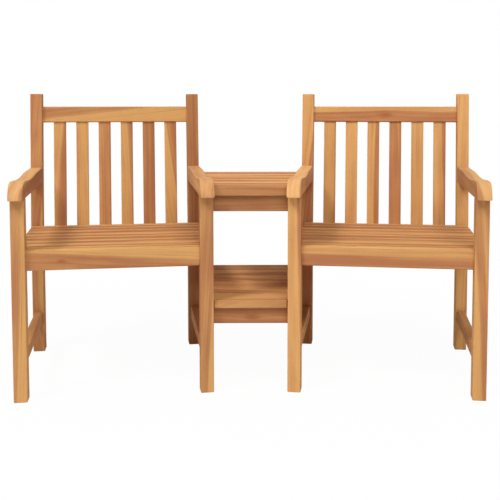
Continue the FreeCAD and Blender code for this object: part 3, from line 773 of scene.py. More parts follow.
@dataclass
class Board:
    """A board: a flat outline pushed along one axis, rounded along its edges, with its grain laid on.

    The outline is given in the two axes other than `push`, in order. `span` is where the board starts and
    ends along `push`, and `into` is the way from its axes to the bench's. A rounded edge has faces smaller
    than `edge_faces` squares of its radius.
    """

    node: str
    slot: Slot
    outline: Sequence[Point2]
    push: Axis
    span: Point2
    lay: Lay
    into: Matrix
    ease: float = 0.0025
    eased: Eased = Eased.ALL
    recess: Recess | None = None
    sharpest: float = math.radians(30)
    edge_faces: float = 400.0
    bow_cuts: int = 11

    def __post_init__(self) -> None:
        """Find the board's timber and the directions of its grain."""
        self.timber = TIMBERS[self.node]
        self.along, self.face = (axis.vector() for axis in self.lay.value)
        self.axes = Matrix((self.along, self.face.cross(self.along), self.face))

    def corner(self, point: Sequence[float], height: float) -> Vector:
        """Return an outline point at a height along the push axis."""
        before, after = point[:self.push.value], point[self.push.value:]
        return Vector((*before, height, *after))

    def middle(self) -> Vector:
        """Return the middle of the board's box in its own axes."""
        low, high = ([pick(values) for values in zip(*self.outline)] for pick in (min, max))
        return (self.corner(low, self.span[0]) + self.corner(high, self.span[1])) / 2

    def blank(self) -> bmesh.types.BMesh:
        """Make the square-edged board in its own axes.

        Returns:
            The working copy of its mesh.
        """
        mesh = bmesh.new()
        low, high = [[mesh.verts.new(self.corner(spot, end)) for spot in self.outline] for end in self.span]
        mesh.faces.new(low)
        mesh.faces.new(high)
        for index in range(len(low)):
            mesh.faces.new((low[index - 1], low[index], high[index], high[index - 1]))
        bmesh.ops.recalc_face_normals(mesh, faces=mesh.faces)
        return mesh

    def is_eased(self, edge: bmesh.types.BMEdge) -> bool:
        """Tell whether an edge of the blank is rounded.

        Args:
            edge: The edge.

        Returns:
            Whether it is.
        """
        if edge.calc_face_angle(0.0) < self.sharpest:
            return False
        way = (edge.verts[1].co - edge.verts[0].co).normalized()
        if self.eased is Eased.ALONG_GRAIN:
            return abs(way.dot(self.along)) > ALONG_COSINE
        if self.eased is Eased.RIM:
            return abs(way.dot(self.push.vector())) < 1 - ALONG_COSINE
        return True

    def build(self) -> bpy.types.Object:
        """Build the board.

        Returns:
            The board as an object of the scene.
        """
        mesh = self.blank()
        edges = [edge for edge in mesh.edges if self.is_eased(edge)]
        bmesh.ops.bevel(mesh, geom=edges, offset=self.ease, offset_type="OFFSET", segments=EDGE_STEPS,
                        profile=0.5, affect="EDGES", clamp_overlap=True)
        if self.timber.bow:
            self.cut_lengthwise(mesh)
        bmesh.ops.transform(mesh, matrix=self.into, verts=mesh.verts)
        piece = mesh_object(f"{self.node}_teak", mesh)
        if self.recess:
            self.cut_recess(piece, self.recess.cutter(self.into))
        self.lay_grain(piece.data)
        self.mark_wear(piece.data)
        return piece

    def cut_lengthwise(self, mesh: bmesh.types.BMesh) -> None:
        """Divide the board along its length, so that its grain can follow a curve.

        Args:
            mesh: The working copy of its mesh.
        """
        reach = [vertex.co.dot(self.along) for vertex in mesh.verts]
        low, high = min(reach), max(reach)
        for step in range(1, self.bow_cuts + 1):
            place = low + (high - low) * step / (self.bow_cuts + 1)
            parts = [*mesh.verts, *mesh.edges, *mesh.faces]
            bmesh.ops.bisect_plane(mesh, geom=parts, plane_co=self.along * place, plane_no=self.along)

    @staticmethod
    def cut_recess(piece: bpy.types.Object, cutter: bpy.types.Object) -> None:
        """Cut the bolt's recess and remove its cutter.

        Args:
            piece: The board.
            cutter: What is cut away.
        """
        cut = piece.modifiers.new("recess", "BOOLEAN")
        cut.object = cutter
        cut.solver = "EXACT"
        bake(piece)
        spent = cutter.data
        bpy.data.objects.remove(cutter)
        bpy.data.meshes.remove(spent)

    def lay_grain(self, mesh: bpy.types.Mesh) -> None:
        """Store where in its log each point of the board is, its look and its knot.

        Args:
            mesh: The board's mesh.
        """
        home = self.into.inverted()
        middle = self.axes @ self.middle()
        shift = self.timber.shift(self.node)
        places: list[float] = []
        for vertex in mesh.vertices:
            spot = self.axes @ (home @ vertex.co) - middle
            spot.y += self.timber.drift(spot.x)
            places.extend(spot + shift)
        store(mesh, "grain", "POINT", places)
        store(mesh, "look", "POINT", list(self.timber.look()) * len(mesh.vertices))
        store(mesh, "knot", "POINT", list(self.timber.knot_in_log(self.node)) * len(mesh.vertices))

    def mark_wear(self, mesh: bpy.types.Mesh) -> None:
        """Smooth the rounded faces, and store which are rounded edges and which end grain.

        Args:
            mesh: The board's mesh.
        """
        turn = self.axes @ self.into.inverted().to_3x3()
        straight = self.eased is not Eased.RIM
        wear: list[float] = []
        for polygon in mesh.polygons:
            normal = [abs(value) for value in turn @ polygon.normal]
            polygon.use_smooth = max(normal) < FLAT_COSINE
            small = polygon.area < self.ease ** 2 * self.edge_faces
            rounded = straight and small and polygon.use_smooth
            wear.extend((float(rounded), float(straight and normal[0] > ALONG_COSINE), 0.0))
        store(mesh, "worn", "FACE", wear)


def build_boards(boards: Iterable[Board], finishes: Finishes) -> None:
    """Build and dress boards."""
    for board in boards:
        finish_piece(board.build(), board.node, board.slot, finishes)


def slat_shape(graph: Graph, given: dict[str, Wire]) -> Wire:
    """Make one slat along x, with rounded edges and ends that are drawn in a little.

    Args:
        graph: The graph of the row of slats.
        given: The inputs of its group.

    Returns:
        The mesh of the slat.
    """
    sides = {"Width": given["Width"], "Height": given["Thickness"]}
    section = graph.wire("GeometryNodeCurvePrimitiveQuadrilateral", sides, mode="RECTANGLE")
    corners = {"Curve": section, "Count": EDGE_STEPS, "Radius": given["Edge Radius"]}
    section = graph.wire("GeometryNodeFilletCurve", corners, mode="POLY")
    half = given["Length"] * 0.5
    reach = [half - given["End Ease"] * share for share, _ in SLAT_END]
    spots = [spot * -1.0 for spot in reach] + reach[::-1]
    swells = [size for _, size in SLAT_END + SLAT_END[::-1]]
    station = graph.wire("GeometryNodeInputIndex")

    def choose(values: Sequence[Feed]) -> Wire:
        """Choose among values by the station along the slat.

        Args:
            values: A value for each station.

        Returns:
            The value at each point.
        """
        switch = graph.add("GeometryNodeIndexSwitch", data_type="FLOAT")
        while len(switch.index_switch_items) < len(values):
            switch.index_switch_items.new()
        graph.feed(switch, dict(enumerate((station, *values))))
        return Wire(graph, switch.outputs[0])

    spine = graph.wire("GeometryNodeMeshLine", {"Count": len(spots)})
    spine = graph.wire("GeometryNodeSetPosition", {"Geometry": spine, "Position": graph.join(choose(spots))})
    spine = graph.wire("GeometryNodeMeshToCurve", {0: spine})
    spine = graph.wire("GeometryNodeSetCurveRadius", {"Curve": spine, "Radius": choose(swells)})
    swept = {"Curve": spine, "Profile Curve": section, "Fill Caps": True}
    return graph.wire("GeometryNodeCurveToMesh", swept)


def slat_row_tree() -> bpy.types.NodeTree:
    """Build the geometry tree that sets a slat at every point of a row.

    Each point carries its slat's attributes look, knot, shift and drift, and the tree writes grain and worn.

    Returns:
        The node tree.
    """
    geometry = "NodeSocketGeometry"
    sizes = ("Length", "Width", "Thickness", "Edge Radius", "End Ease")
    inputs = {"Row": geometry, "Turn": "NodeSocketRotation", "Material": "NodeSocketMaterial"}
    inputs |= dict.fromkeys(sizes, "NodeSocketFloat")
    graph, given, result = new_group("slat_row", "GeometryNodeTree", inputs, {"Slats": geometry})

    def keep(mesh: Wire, name: str, value: Wire, domain: str) -> Wire:
        """Return a mesh on which a vector attribute is stored."""
        feeds = {"Geometry": mesh, "Name": name, "Value": value}
        return graph.wire("GeometryNodeStoreNamedAttribute", feeds, data_type="FLOAT_VECTOR", domain=domain)

    def recall(name: str) -> Wire:
        """Return a vector attribute that was stored."""
        return graph.wire("GeometryNodeInputNamedAttribute", {"Name": name}, data_type="FLOAT_VECTOR")

    lengthwise, *sideways = graph.parts(graph.vector_math("ABSOLUTE", graph.wire("GeometryNodeInputNormal")))
    on_end = graph.math("GREATER_THAN", lengthwise, ALONG_COSINE)
    flat = graph.math("GREATER_THAN", graph.math("MAXIMUM", *sideways), FLAT_COSINE)
    rounded = graph.math("SUBTRACT", 1.0, flat) - on_end
    slat = slat_shape(graph, given)
    slat = graph.wire("GeometryNodeSetShadeSmooth", {"Geometry": slat, "Selection": rounded})
    slat = keep(slat, "worn", graph.join(rounded, on_end), "FACE")
    slat = keep(slat, "grain", graph.wire("GeometryNodeInputPosition"), "POINT")
    places = {"Points": given["Row"], "Instance": slat, "Rotation": given["Turn"]}
    row = graph.wire("GeometryNodeInstanceOnPoints", places)
    row = graph.wire("GeometryNodeRealizeInstances", {"Geometry": row})
    local = recall("grain")
    along, *_ = graph.parts(local)
    drifted = graph.vector_math("MULTIPLY_ADD", recall("drift"), along, local)
    row = keep(row, "grain", graph.vector_math("ADD", drifted, recall("shift")), "POINT")
    for spent in ("shift", "drift"):
        row = graph.wire("GeometryNodeRemoveAttribute", {"Geometry": row, "Name": spent})
    row = graph.wire("GeometryNodeSetMaterial", {"Geometry": row, "Material": given["Material"]})
    graph.feed(result, {"Slats": row})
    return graph.tree


@dataclass
class SlatRow:
    """A row of alike slats, each with timber of its own."""

    node: str
    places: Sequence[Vector]
    timbers: Sequence[Timber]
    turn: Matrix
    length: float
    width: float
    thickness: float
    edge_radius: float = 0.0025
    end_ease: float = 0.002

    def points(self) -> bpy.types.Mesh:
        """Make the points that the slats are set at.

        Returns:
            The points, each with the attributes of its slat.
        """
        mesh = bpy.data.meshes.new(self.node)
        mesh.from_pydata([place[:] for place in self.places], [], [])
        rows: dict[str, list[float]] = {"look": [], "knot": [], "shift": [], "drift": []}
        for index, timber in enumerate(self.timbers):
            name = f"{self.node}_{index}"
            rows["look"].extend(timber.look())
            rows["knot"].extend(timber.knot_in_log(name))
            rows["shift"].extend(timber.shift(name))
            rows["drift"].extend((0.0, timber.slant, 0.0))
        for name, values in rows.items():
            store(mesh, name, "POINT", values)
        return mesh

    def build(self, tree: bpy.types.NodeTree, finishes: Finishes) -> bpy.types.Object:
        """Build the row.

        Args:
            tree: The geometry tree of a row of slats.
            finishes: The materials.

        Returns:
            The row as one piece with a plain mesh.
        """
        piece = bpy.data.objects.new(f"{self.node}_teak", self.points())
        bpy.context.scene.collection.objects.link(piece)
        modifier = piece.modifiers.new("slats", "NODES")
        modifier.node_group = tree
        values = {
            "Length": self.length,
            "Width": self.width,
            "Thickness": self.thickness,
            "Edge Radius": self.edge_radius,
            "End Ease": self.end_ease,
            "Turn": self.turn.to_euler(),
            "Material": finishes.made[Slot.SLAT],
        }
        for item in tree.interface.items_tree:
            if item.in_out == "INPUT" and item.name in values:
                modifier[item.identifier] = values[item.name]
        bake(piece)
        return piece


@dataclass(frozen=True)
class Plan:
    """Sizes that the chairs and the table share."""

    chair_turn: float = math.radians(8.2)
    chair_width: float = 0.584
    table_front_gap: float = 0.220
    leg_width: float = 0.040
    front_leg_depth: float = 0.046
    front_leg_height: float = 0.594
    leg_to_post: float = 0.500
    post_depth: float = 0.050
    post_lean: float = 0.049
    arm_width: float = 0.042
    arm_nose: float = 0.034

    @property
    def arm_overhang(self) -> float:
        """Return how far an armrest stands out over its leg on each side."""
        return (self.arm_width - self.leg_width) / 2

    @property
    def table_corner(self) -> float:
        """Return how far back the inner front legs begin."""
        return self.chair_width * math.sin(self.chair_turn)

    @property
    def middle(self) -> float:
        """Work out how far back the middle of the bench is from the outer front legs.

        Returns:
            The depth of the middle.
        """
        sin, cos = math.sin(self.chair_turn), math.cos(self.chair_turn)
        front = -self.arm_overhang * sin - self.arm_nose * cos
        back = self.table_corner + (self.leg_to_post + self.post_depth + self.post_lean) * cos
        return (front + back) / 2

    def table_frame(self) -> Matrix:
        """Return the way from the table's axes to the bench's."""
        return Matrix.Translation((0, -self.middle, 0))

    def chair_frame(self, side: Side) -> Matrix:
        """Work out the way from a chair's axes to the bench's.

        Args:
            side: Which chair.

        Returns:
            The way. The right chair is the mirror image of the left one.
        """
        origin = -self.table_front_gap / 2 - self.chair_width * math.cos(self.chair_turn)
        left = Matrix.Translation((origin, -self.middle, 0)) @ Matrix.Rotation(self.chair_turn, 4, "Z")
        return left if side is Side.LEFT else Matrix.Diagonal((-1, 1, 1, 1)) @ left


@dataclass(frozen=True)
class Section:
    """A rail's thickness and height, and how far it is set in from the legs or down from seat or post."""

    thickness: float
    height: float
    inset: float = 0.0

    def outline(self, middle: float, top: float) -> list[Point2]:
        """Return its corners about a middle line, up to a height."""
        half = self.thickness / 2
        return box_outline(middle - half, top - self.height, middle + half, top)


def box_outline(left: float, low: float, right: float, high: float) -> list[Point2]:
    """Return the four corners of a rectangle."""
    return [(left, low), (right, low), (right, high), (left, high)]


def arc_points(start: Point2, end: Point2, radius: float, hollow: bool, steps: int) -> list[Point2]:
    """Work out points on the lesser arc from one point to another.

    Args:
        start: Where the arc begins.
        end: Where it ends.
        radius: Its radius.
        hollow: Whether it bulges to the right of the way instead of the left.
        steps: How many points to return.

    Returns:
        The points after the start, up to the end.
    """
    first, last = Vector(start), Vector(end)
    chord = last - first
    left = Vector((-chord.y, chord.x)).normalized() * (1 if hollow else -1)
    centre = (first + last) / 2 + left * math.sqrt(max(radius ** 2 - (chord.length / 2) ** 2, 0.0))
    arm = first - centre
    angle = -arm.angle_signed(last - centre)
    turns = [Matrix.Rotation(angle * step / steps, 2) for step in range(1, steps + 1)]
    return [tuple(centre + turn @ arm) for turn in turns]


def swept_radius(run: float, fall: float) -> float:
    """Return the radius of two equal arcs that sweep from one level to another, a run on and a fall below."""
    return (run ** 2 + fall ** 2) / (4 * fall)


@dataclass
class Chair:
    """One slatted armchair of the bench.

    The posts lean back above `post_bend`. An armrest is lowest at `arm_dip` and level again from `arm_level`,
    both measured back from the front of the legs. `fit` is the play between the front seat slat and the rail
    and legs beside it. The back slats are let into their rails by `back_slat_housing`.
    """

    side: Side
    plan: Plan
    finishes: Finishes
    slat_tree: bpy.types.NodeTree
    leg_ease: float = 0.003
    post_height: float = 0.900
    post_bend: float = 0.445
    arm_height: float = 0.050
    arm_dip_depth: float = 0.007
    arm_dip: float = 0.180
    arm_level: float = 0.390
    nose_steps: int = 14
    dip_steps: int = 6
    seat_height: float = 0.445
    seat_slat_thickness: float = 0.020
    seat_slat_gap: float = 0.008
    seat_slat_inset: float = 0.006
    seat_slat_ease: float = 0.003
    seat_back_clearance: float = 0.010
    seat_slat_count: int = 7
    front_slat_width: float = 0.0288
    fit: float = 0.0002
    front_rail: Section = Section(0.022, 0.060, 0.012)
    lower_rail: Section = Section(0.024, 0.054, 0.010)
    top_rail: Section = Section(0.026, 0.054, 0.043)
    side_rail: Section = Section(0.024, 0.058)
    stretcher: Section = Section(0.026, 0.040)
    stretcher_top: float = 0.140
    back_slat_count: int = 6
    back_slat_width: float = 0.042
    back_slat_gap: float = 0.0353
    back_slat_thickness: float = 0.014
    back_slat_housing: float = 0.015

    def __post_init__(self) -> None:
        """Work out the lines that several pieces share."""
        plan = self.plan
        self.into = plan.chair_frame(self.side)
        self.lean = math.atan2(plan.post_lean, self.post_height - self.post_bend)
        self.slat_under = self.seat_height - self.seat_slat_thickness
        self.front_middle = self.front_rail.inset + self.front_rail.thickness / 2
        self.front_slat_near = self.front_rail.inset + self.front_rail.thickness + self.fit
        self.front_slat_far = self.front_slat_near + self.front_slat_width
        self.post_middle = plan.leg_to_post + plan.post_depth / 2
        self.back_middle = plan.post_depth * math.cos(self.lean) / 2
        self.lower_rail_top = self.seat_height - self.lower_rail.inset
        self.top_rail_upper = (self.post_height - self.top_rail.inset - self.post_bend) / math.cos(self.lean)
        self.top_rail_lower = self.top_rail_upper - self.top_rail.height

    def board(self, stem: str, slot: Slot, outline: list[Point2], push: Axis, span: Point2, lay: Lay,
              **more: object) -> Board:
        """Return a board of this chair."""
        return Board(f"{self.side.value}_{stem}", slot, outline, push, span, lay, self.into, **more)

    def across(self, place: Place, near: float, far: float) -> Point2:
        """Return a span across the chair on its outer side, or the like span on its inner side."""
        width = self.plan.chair_width
        return (near, far) if place is Place.OUTER else (width - far, width - near)

    def leaned(self, across: float, along: float) -> Point2:
        """Return depth and height of a point in from the front of the posts and up their leaning line."""
        cos, sin = math.cos(self.lean), math.sin(self.lean)
        return self.plan.leg_to_post + across * cos + along * sin, self.post_bend - across * sin + along * cos

    def post_face(self, height: float) -> float:
        """Return how far back the leaning front of a post is at a height."""
        return self.plan.leg_to_post + (height - self.post_bend) * math.tan(self.lean)

    def recess(self, place: Place, depth: float, height: float) -> Recess:
        """Return the recess for a bolt through a leg or post."""
        face, _ = self.across(place, 0.0, 0.0)
        return Recess((depth, height), face)

    def front_leg(self, place: Place) -> Board:
        """Draw a square front leg.

        Args:
            place: Its side of the chair.

        Returns:
            The board.
        """
        left, right = self.across(place, 0.0, self.plan.leg_width)
        outline = box_outline(left, 0.0, right, self.plan.front_leg_depth)
        bolt = self.recess(place, self.front_middle, self.seat_height - self.front_rail.height / 2)
        span = (0.0, self.plan.front_leg_height)
        return self.board(f"{place.value}_front_leg", Slot.LEG, outline, Axis.Z, span, Lay.UPRIGHT,
                          ease=self.leg_ease, recess=bolt)

    def back_post(self, place: Place) -> Board:
        """Draw a back post, upright to the seat and leaning above it.

        Args:
            place: Its side of the chair.

        Returns:
            The board.
        """
        near, far = self.plan.leg_to_post, self.plan.leg_to_post + self.plan.post_depth
        lean = self.plan.post_lean
        outline = [(near, 0.0), (far, 0.0), (far, self.post_bend), (far + lean, self.post_height),
                   (near + lean, self.post_height), (near, self.post_bend)]
        span = self.across(place, 0.0, self.plan.leg_width)
        bolt = self.recess(place, self.post_middle, self.lower_rail_top - self.lower_rail.height / 2)
        return self.board(f"{place.value}_back_post", Slot.LEG, outline, Axis.X, span, Lay.UPRIGHT,
                          ease=self.leg_ease, recess=bolt)

    def armrest(self, place: Place) -> Board:
        """Draw an armrest with a rounded nose and a shallow dip for the forearm.

        Args:
            place: Its side of the chair.

        Returns:
            The board.
        """
        plan = self.plan
        under = plan.front_leg_height
        crest = under + self.arm_height
        fall = self.arm_dip_depth
        nose_end = self.arm_height - plan.arm_nose
        fore = swept_radius(self.arm_dip - nose_end, fall)
        aft = swept_radius(self.arm_level - self.arm_dip, fall)
        # The end of each arc, its radius, whether it is hollow, and its steps.
        arcs = (
            ((nose_end, crest), self.arm_height, False, self.nose_steps),
            (((nose_end + self.arm_dip) / 2, crest - fall / 2), fore, False, self.dip_steps),
            ((self.arm_dip, crest - fall), fore, True, self.dip_steps),
            (((self.arm_dip + self.arm_level) / 2, crest - fall / 2), aft, True, self.dip_steps),
            ((self.arm_level, crest), aft, False, self.dip_steps),
        )
        outline = [(-plan.arm_nose, under)]
        for arc in arcs:
            outline += arc_points(outline[-1], *arc)
        outline += [(self.post_face(crest), crest), (self.post_face(under), under)]
        span = self.across(place, -plan.arm_overhang, plan.leg_width + plan.arm_overhang)
        return self.board(f"{place.value}_armrest", Slot.ARM, outline, Axis.X, span, Lay.ARM, eased=Eased.RIM)

    def side_board(self, stem: str, place: Place, section: Section, top: float) -> Board:
        """Draw a board from front leg to back post, in the middle of their width.

        Args:
            stem: Its name.
            place: Its side of the chair.
            section: Its thickness and height.
            top: The height of its top.

        Returns:
            The board.
        """
        outline = section.outline(sum(self.across(place, 0.0, self.plan.leg_width)) / 2, top)
        span = (self.plan.front_leg_depth, self.plan.leg_to_post)
        return self.board(f"{place.value}_{stem}", Slot.RAIL, outline, Axis.Y, span, Lay.SIDE,
                          eased=Eased.ALONG_GRAIN)

    def rails(self) -> list[Board]:
        """Draw the front rail and the two rails that hold the back slats.

        Returns:
            The three boards.
        """
        corners = self.top_rail.outline(self.back_middle, self.top_rail_upper)
        outlines = {
            "front_rail": self.front_rail.outline(self.front_middle, self.seat_height),
            "lower_back_rail": self.lower_rail.outline(self.post_middle, self.lower_rail_top),
            "top_rail": [self.leaned(*corner) for corner in corners],
        }
        span = (self.plan.leg_width, self.plan.chair_width - self.plan.leg_width)
        return [self.board(stem, Slot.RAIL, outline, Axis.X, span, Lay.CROSS, eased=Eased.ALONG_GRAIN)
                for stem, outline in outlines.items()]

    def front_seat_slat(self) -> Board:
        """Draw the narrow slat behind the front rail, notched round both front legs.

        Returns:
            The board.
        """
        width = self.plan.chair_width
        left, right = self.seat_slat_inset, width - self.seat_slat_inset
        notch = self.plan.front_leg_depth + self.fit
        inside = self.plan.leg_width + self.fit
        near, far = self.front_slat_near, self.front_slat_far
        outline = [(inside, near), (width - inside, near), (width - inside, notch), (right, notch),
                   (right, far), (left, far), (left, notch), (inside, notch)]
        span = (self.slat_under, self.seat_height)
        return self.board("front_seat_slat", Slot.SLAT, outline, Axis.Z, span, Lay.FLAT,
                          eased=Eased.ALONG_GRAIN)

    def back_slats(self) -> SlatRow:
        """Lay out the upright slats of the back.

        Returns:
            The row.
        """
        pitch = self.back_slat_width + self.back_slat_gap
        first = (self.plan.chair_width - self.back_slat_count * pitch + self.back_slat_gap) / 2
        foot = (self.lower_rail_top - self.post_bend) / math.cos(self.lean) - self.back_slat_housing
        head = self.top_rail_lower + self.back_slat_housing
        middle = self.leaned(self.back_middle, (foot + head) / 2)
        places = [self.into @ Vector((first + index * pitch + self.back_slat_width / 2, *middle))
                  for index in range(self.back_slat_count)]
        rotation = self.into.to_3x3()
        along = rotation @ Vector((0, math.sin(self.lean), math.cos(self.lean)))
        across = rotation @ Axis.X.vector()
        turn = Matrix((along, across, along.cross(across))).transposed()
        return SlatRow(f"{self.side.value}_back_slats", places, BACK_SLAT_TIMBERS[self.side], turn,
                       head - foot, self.back_slat_width, self.back_slat_thickness)

    def seat_slats(self) -> SlatRow:
        """Lay out the full seat slats.

        Returns:
            The row.
        """
        back = self.plan.leg_to_post - self.seat_back_clearance
        pitch = (back - self.front_slat_far) / self.seat_slat_count
        width = pitch - self.seat_slat_gap
        first = self.front_slat_far + self.seat_slat_gap + width / 2
        middle, height = self.plan.chair_width / 2, self.seat_height - self.seat_slat_thickness / 2
        places = [self.into @ Vector((middle, first + index * pitch, height))
                  for index in range(self.seat_slat_count)]
        along = (self.into.to_3x3() @ Axis.X.vector()) * (1 if self.side is Side.LEFT else -1)
        up = Axis.Z.vector()
        turn = Matrix((along, up.cross(along), up)).transposed()
        length = self.plan.chair_width - 2 * self.seat_slat_inset
        return SlatRow(f"{self.side.value}_seat_slats", places, SEAT_SLAT_TIMBERS[self.side], turn,
                       length, width, self.seat_slat_thickness, self.seat_slat_ease)

    def boards(self) -> list[Board]:
        """Draw every single board of the chair.

        Returns:
            The boards.
        """
        made = [*self.rails(), self.front_seat_slat()]
        for place in Place:
            made += [self.front_leg(place), self.back_post(place), self.armrest(place),
                     self.side_board("side_rail", place, self.side_rail, self.slat_under),
                     self.side_board("stretcher", place, self.stretcher, self.stretcher_top)]
        return made

    def build(self) -> None:
        """Build and dress the chair."""
        build_boards(self.boards(), self.finishes)
        for row in (self.back_slats(), self.seat_slats()):
            finish_piece(row.build(self.slat_tree, self.finishes), row.node, Slot.SLAT, self.finishes)


@dataclass
class TeaTable:
    """The wedge-shaped table between the chairs, with its lower shelf.

    Its boards begin `front_inset` behind the corners of the inner front legs, and `overhang` in front of the
    front aprons.
    """

    plan: Plan
    finishes: Finishes
    board_count: int = 6
    board_width: float = 0.085
    board_gap: float = 0.0055
    top_thickness: float = 0.026
    shelf_thickness: float = 0.024
    shelf_height: float = 0.279
    front_inset: float = 0.010
    overhang: float = 0.014
    end_clearance: float = 0.002
    apron_thickness: float = 0.022
    top_apron_height: float = 0.048
    shelf_apron_height: float = 0.050
    bearer_thickness: float = 0.022

    def __post_init__(self) -> None:
        """Work out the lines that several boards share."""
        plan = self.plan
        self.into = plan.table_frame()
        self.boards_front = plan.table_corner + self.front_inset
        self.front_apron = self.boards_front + self.overhang
        post_middle = (plan.leg_to_post + plan.post_depth / 2) * math.cos(plan.chair_turn)
        self.back_apron = plan.table_corner + post_middle - self.apron_thickness / 2
        self.shelf_under = self.shelf_height - self.shelf_thickness

    def half_width(self, depth: float, clearance: float) -> float:
        """Work out half the room between the chairs.

        Args:
            depth: How far back.
            clearance: What is left free beside each chair.

        Returns:
            Half the room.
        """
        turn = self.plan.chair_turn
        room = self.plan.table_front_gap / 2 + (depth - self.plan.table_corner) * math.tan(turn)
        return room - clearance / math.cos(turn)

    def wedge(self, near: float, far: float, clearance: float) -> list[Point2]:
        """Return the outline of a board across the room between the chairs."""
        front, back = self.half_width(near, clearance), self.half_width(far, clearance)
        return [(-front, near), (front, near), (back, far), (-back, far)]

    def row(self, stem: str, under: float, thickness: float, clearance: float) -> list[Board]:
        """Draw the boards of the top or the shelf.

        Args:
            stem: Their name.
            under: The height of their undersides.
            thickness: Their thickness.
            clearance: What is left free beside each chair.

        Returns:
            The boards, from the front.
        """
        made = []
        for index in range(self.board_count):
            near = self.boards_front + index * (self.board_width + self.board_gap)
            outline = self.wedge(near, near + self.board_width, clearance)
            made.append(Board(f"{stem}_{index + 1}", Slot.BOARD, outline, Axis.Z, (under, under + thickness),
                              Lay.FLAT, self.into))
        return made

    def support(self, node: str, outline: list[Point2], span: Point2, lay: Lay) -> Board:
        """Return an apron or a bearer under the boards."""
        return Board(node, Slot.RAIL, outline, Axis.Z, span, lay, self.into, eased=Eased.ALONG_GRAIN)

    def bearer_outline(self, side: Side) -> list[Point2]:
        """Outline a bearer along a chair's side, between the two aprons.

        Args:
            side: Which chair.

        Returns:
            Its corners.
        """
        sign = -1 if side is Side.LEFT else 1
        near, far = self.front_apron + self.apron_thickness, self.back_apron
        places = ((near, 0.0), (near, self.bearer_thickness), (far, self.bearer_thickness), (far, 0.0))
        return [(sign * self.half_width(depth, clearance), depth) for depth, clearance in places]

    def boards(self) -> list[Board]:
        """Draw every board of the table.

        Returns:
            The boards.
        """
        top_under = self.plan.front_leg_height
        top_clearance = self.plan.arm_overhang + self.end_clearance
        made = self.row("table_top_board", top_under, self.top_thickness, top_clearance)
        made += self.row("shelf_board", self.shelf_under, self.shelf_thickness, self.end_clearance)
        levels = (
            ("table", top_under, self.top_apron_height),
            ("shelf", self.shelf_under, self.shelf_apron_height),
        )
        for stem, under, height in levels:
            span = (under - height, under)
            for end, near in (("front", self.front_apron), ("back", self.back_apron)):
                outline = self.wedge(near, near + self.apron_thickness, 0.0)
                made.append(self.support(f"{stem}_{end}_apron", outline, span, Lay.CROSS))
            for side in Side:
                node = f"{side.value}_{stem}_bearer"
                made.append(self.support(node, self.bearer_outline(side), span, Lay.SIDE))
        return made

    def build(self) -> None:
        """Build and dress the table."""
        build_boards(self.boards(), self.finishes)


@dataclass(frozen=True)
class Fasteners:
    """The bolts and nuts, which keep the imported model's own shapes."""

    finishes: Finishes
    nodes: tuple[str, ...] = ("frame_bolts", "square_nuts")

    def build(self) -> None:
        """Dress every fastener in steel."""
        for node in self.nodes:
            self.finishes.put_on(bpy.data.objects[node], Slot.BOLT)
            LOGGER.info("%s is dressed", node)


@dataclass(frozen=True)
class Lamp:
    """A soft square studio lamp, turned to a target."""

    name: str
    place: Point3
    size: float
    power: float
    target: Point3 = (0.0, 0.0, 0.4)

    def build(self) -> None:
        """Hang the lamp."""
        data = bpy.data.lights.new(self.name, "AREA")
        data.energy = self.power
        data.size = self.size
        lamp = bpy.data.objects.new(self.name, data)
        lamp.location = self.place
        lamp.rotation_euler = (Vector(self.target) - lamp.location).to_track_quat("-Z", "Y").to_euler()
        bpy.context.scene.collection.objects.link(lamp)


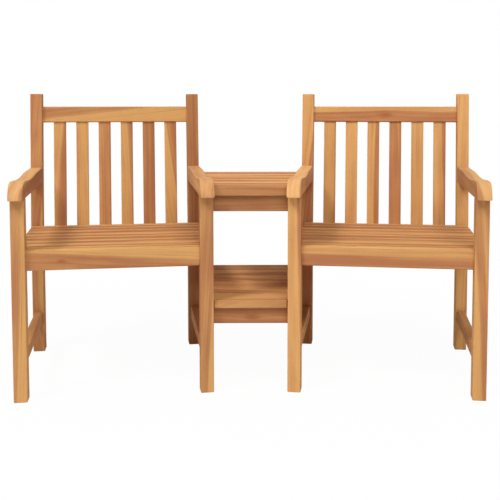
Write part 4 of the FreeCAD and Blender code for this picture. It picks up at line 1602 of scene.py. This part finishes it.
@dataclass(frozen=True)
class Studio:
    """White floor, soft light and the camera.

    Where it is seen directly, the floor is plain white but for a share that takes light and shadow. The white
    share is `floor_white` as far as the first distance of `floor_fade`, and grows to all of it at the second.
    `sky` is how strongly the white world lights the bench.
    """

    floor_size: float = 60.0
    floor_drop: float = 0.0004
    floor_grey: float = 0.9
    floor_white: float = 0.965
    floor_fade: Point2 = (0.9, 2.2)
    sky: float = 0.25
    lamps: tuple[Lamp, ...] = (
        Lamp("key_lamp", (-6.36, -5.52, 10.96), 2.85, 880.0),
        Lamp("side_lamp", (2.32, -9.3, 10.33), 6.5, 955.0),
        Lamp("back_lamp", (0.0, 7.92, 11.7), 8.0, 220.0),
    )
    camera_place: Point3 = (-0.0042, -2.6611, 0.8760)
    camera_yaw: float = 0.0124
    camera_pitch: float = 0.0718
    lens: float = 59.275
    shift: Point2 = (-0.0187, -0.18)

    def build(self) -> None:
        """Build the studio."""
        self.build_world()
        self.build_floor()
        for lamp in self.lamps:
            lamp.build()
        self.build_camera()
        bpy.context.scene.view_settings.view_transform = "Standard"

    def build_world(self) -> None:
        """Make a world that looks white and lights softly."""
        world = bpy.data.worlds.new("studio_world")
        world.use_nodes = True
        bpy.context.scene.world = world
        graph = Graph(world.node_tree)
        feeds = {"Value": graph.seen_directly(), "To Min": self.sky, "To Max": 1.0}
        strength = graph.wire("ShaderNodeMapRange", feeds)
        graph.feed(world.node_tree.nodes["Background"], {"Color": (1, 1, 1, 1), "Strength": strength})

    def build_floor(self) -> None:
        """Lay a white floor that keeps a faint shadow."""
        mesh = bmesh.new()
        bmesh.ops.create_grid(mesh, x_segments=1, y_segments=1, size=self.floor_size / 2,
                              matrix=Matrix.Translation((0, 0, -self.floor_drop)))
        floor = mesh_object("studio_floor", mesh)
        paper = bpy.data.materials.new("floor_paper")
        paper.use_nodes = True
        paper.node_tree.nodes.clear()
        graph = Graph(paper.node_tree)
        grey = (self.floor_grey, self.floor_grey, self.floor_grey, 1)
        lit = graph.wire("ShaderNodeBsdfDiffuse", {"Color": grey})
        white = graph.wire("ShaderNodeEmission", {"Color": (1, 1, 1, 1), "Strength": 1.0})
        away = graph.vector_math("LENGTH", graph.wire("ShaderNodeTexCoord", None, "Object"))
        far = graph.remap(away, *self.floor_fade, self.floor_white, 1.0)
        mixed = graph.wire("ShaderNodeMixShader", {0: graph.seen_directly() * far, 1: lit, 2: white})
        graph.add("ShaderNodeOutputMaterial", {"Surface": mixed})
        floor.data.materials.append(paper)

    def build_camera(self) -> None:
        """Set up the camera at the photograph's viewing angle."""
        data = bpy.data.cameras.new("camera")
        data.sensor_fit = "HORIZONTAL"
        data.lens = self.lens
        data.shift_x, data.shift_y = self.shift
        camera = bpy.data.objects.new("camera", data)
        camera.location = self.camera_place
        camera.rotation_euler = (math.pi / 2 - self.camera_pitch, 0, -self.camera_yaw)
        bpy.context.scene.collection.objects.link(camera)
        bpy.context.scene.camera = camera


def main() -> None:
    """Build the bench, its studio and its camera."""
    logging.basicConfig(level=logging.INFO, format="%(name)s: %(message)s")
    plan = Plan()
    finishes = Finishes()
    slat_tree = slat_row_tree()
    for side in Side:
        Chair(side, plan, finishes, slat_tree).build()
    TeaTable(plan, finishes).build()
    Fasteners(finishes).build()
    Studio().build()


if __name__ == "__main__":
    main()
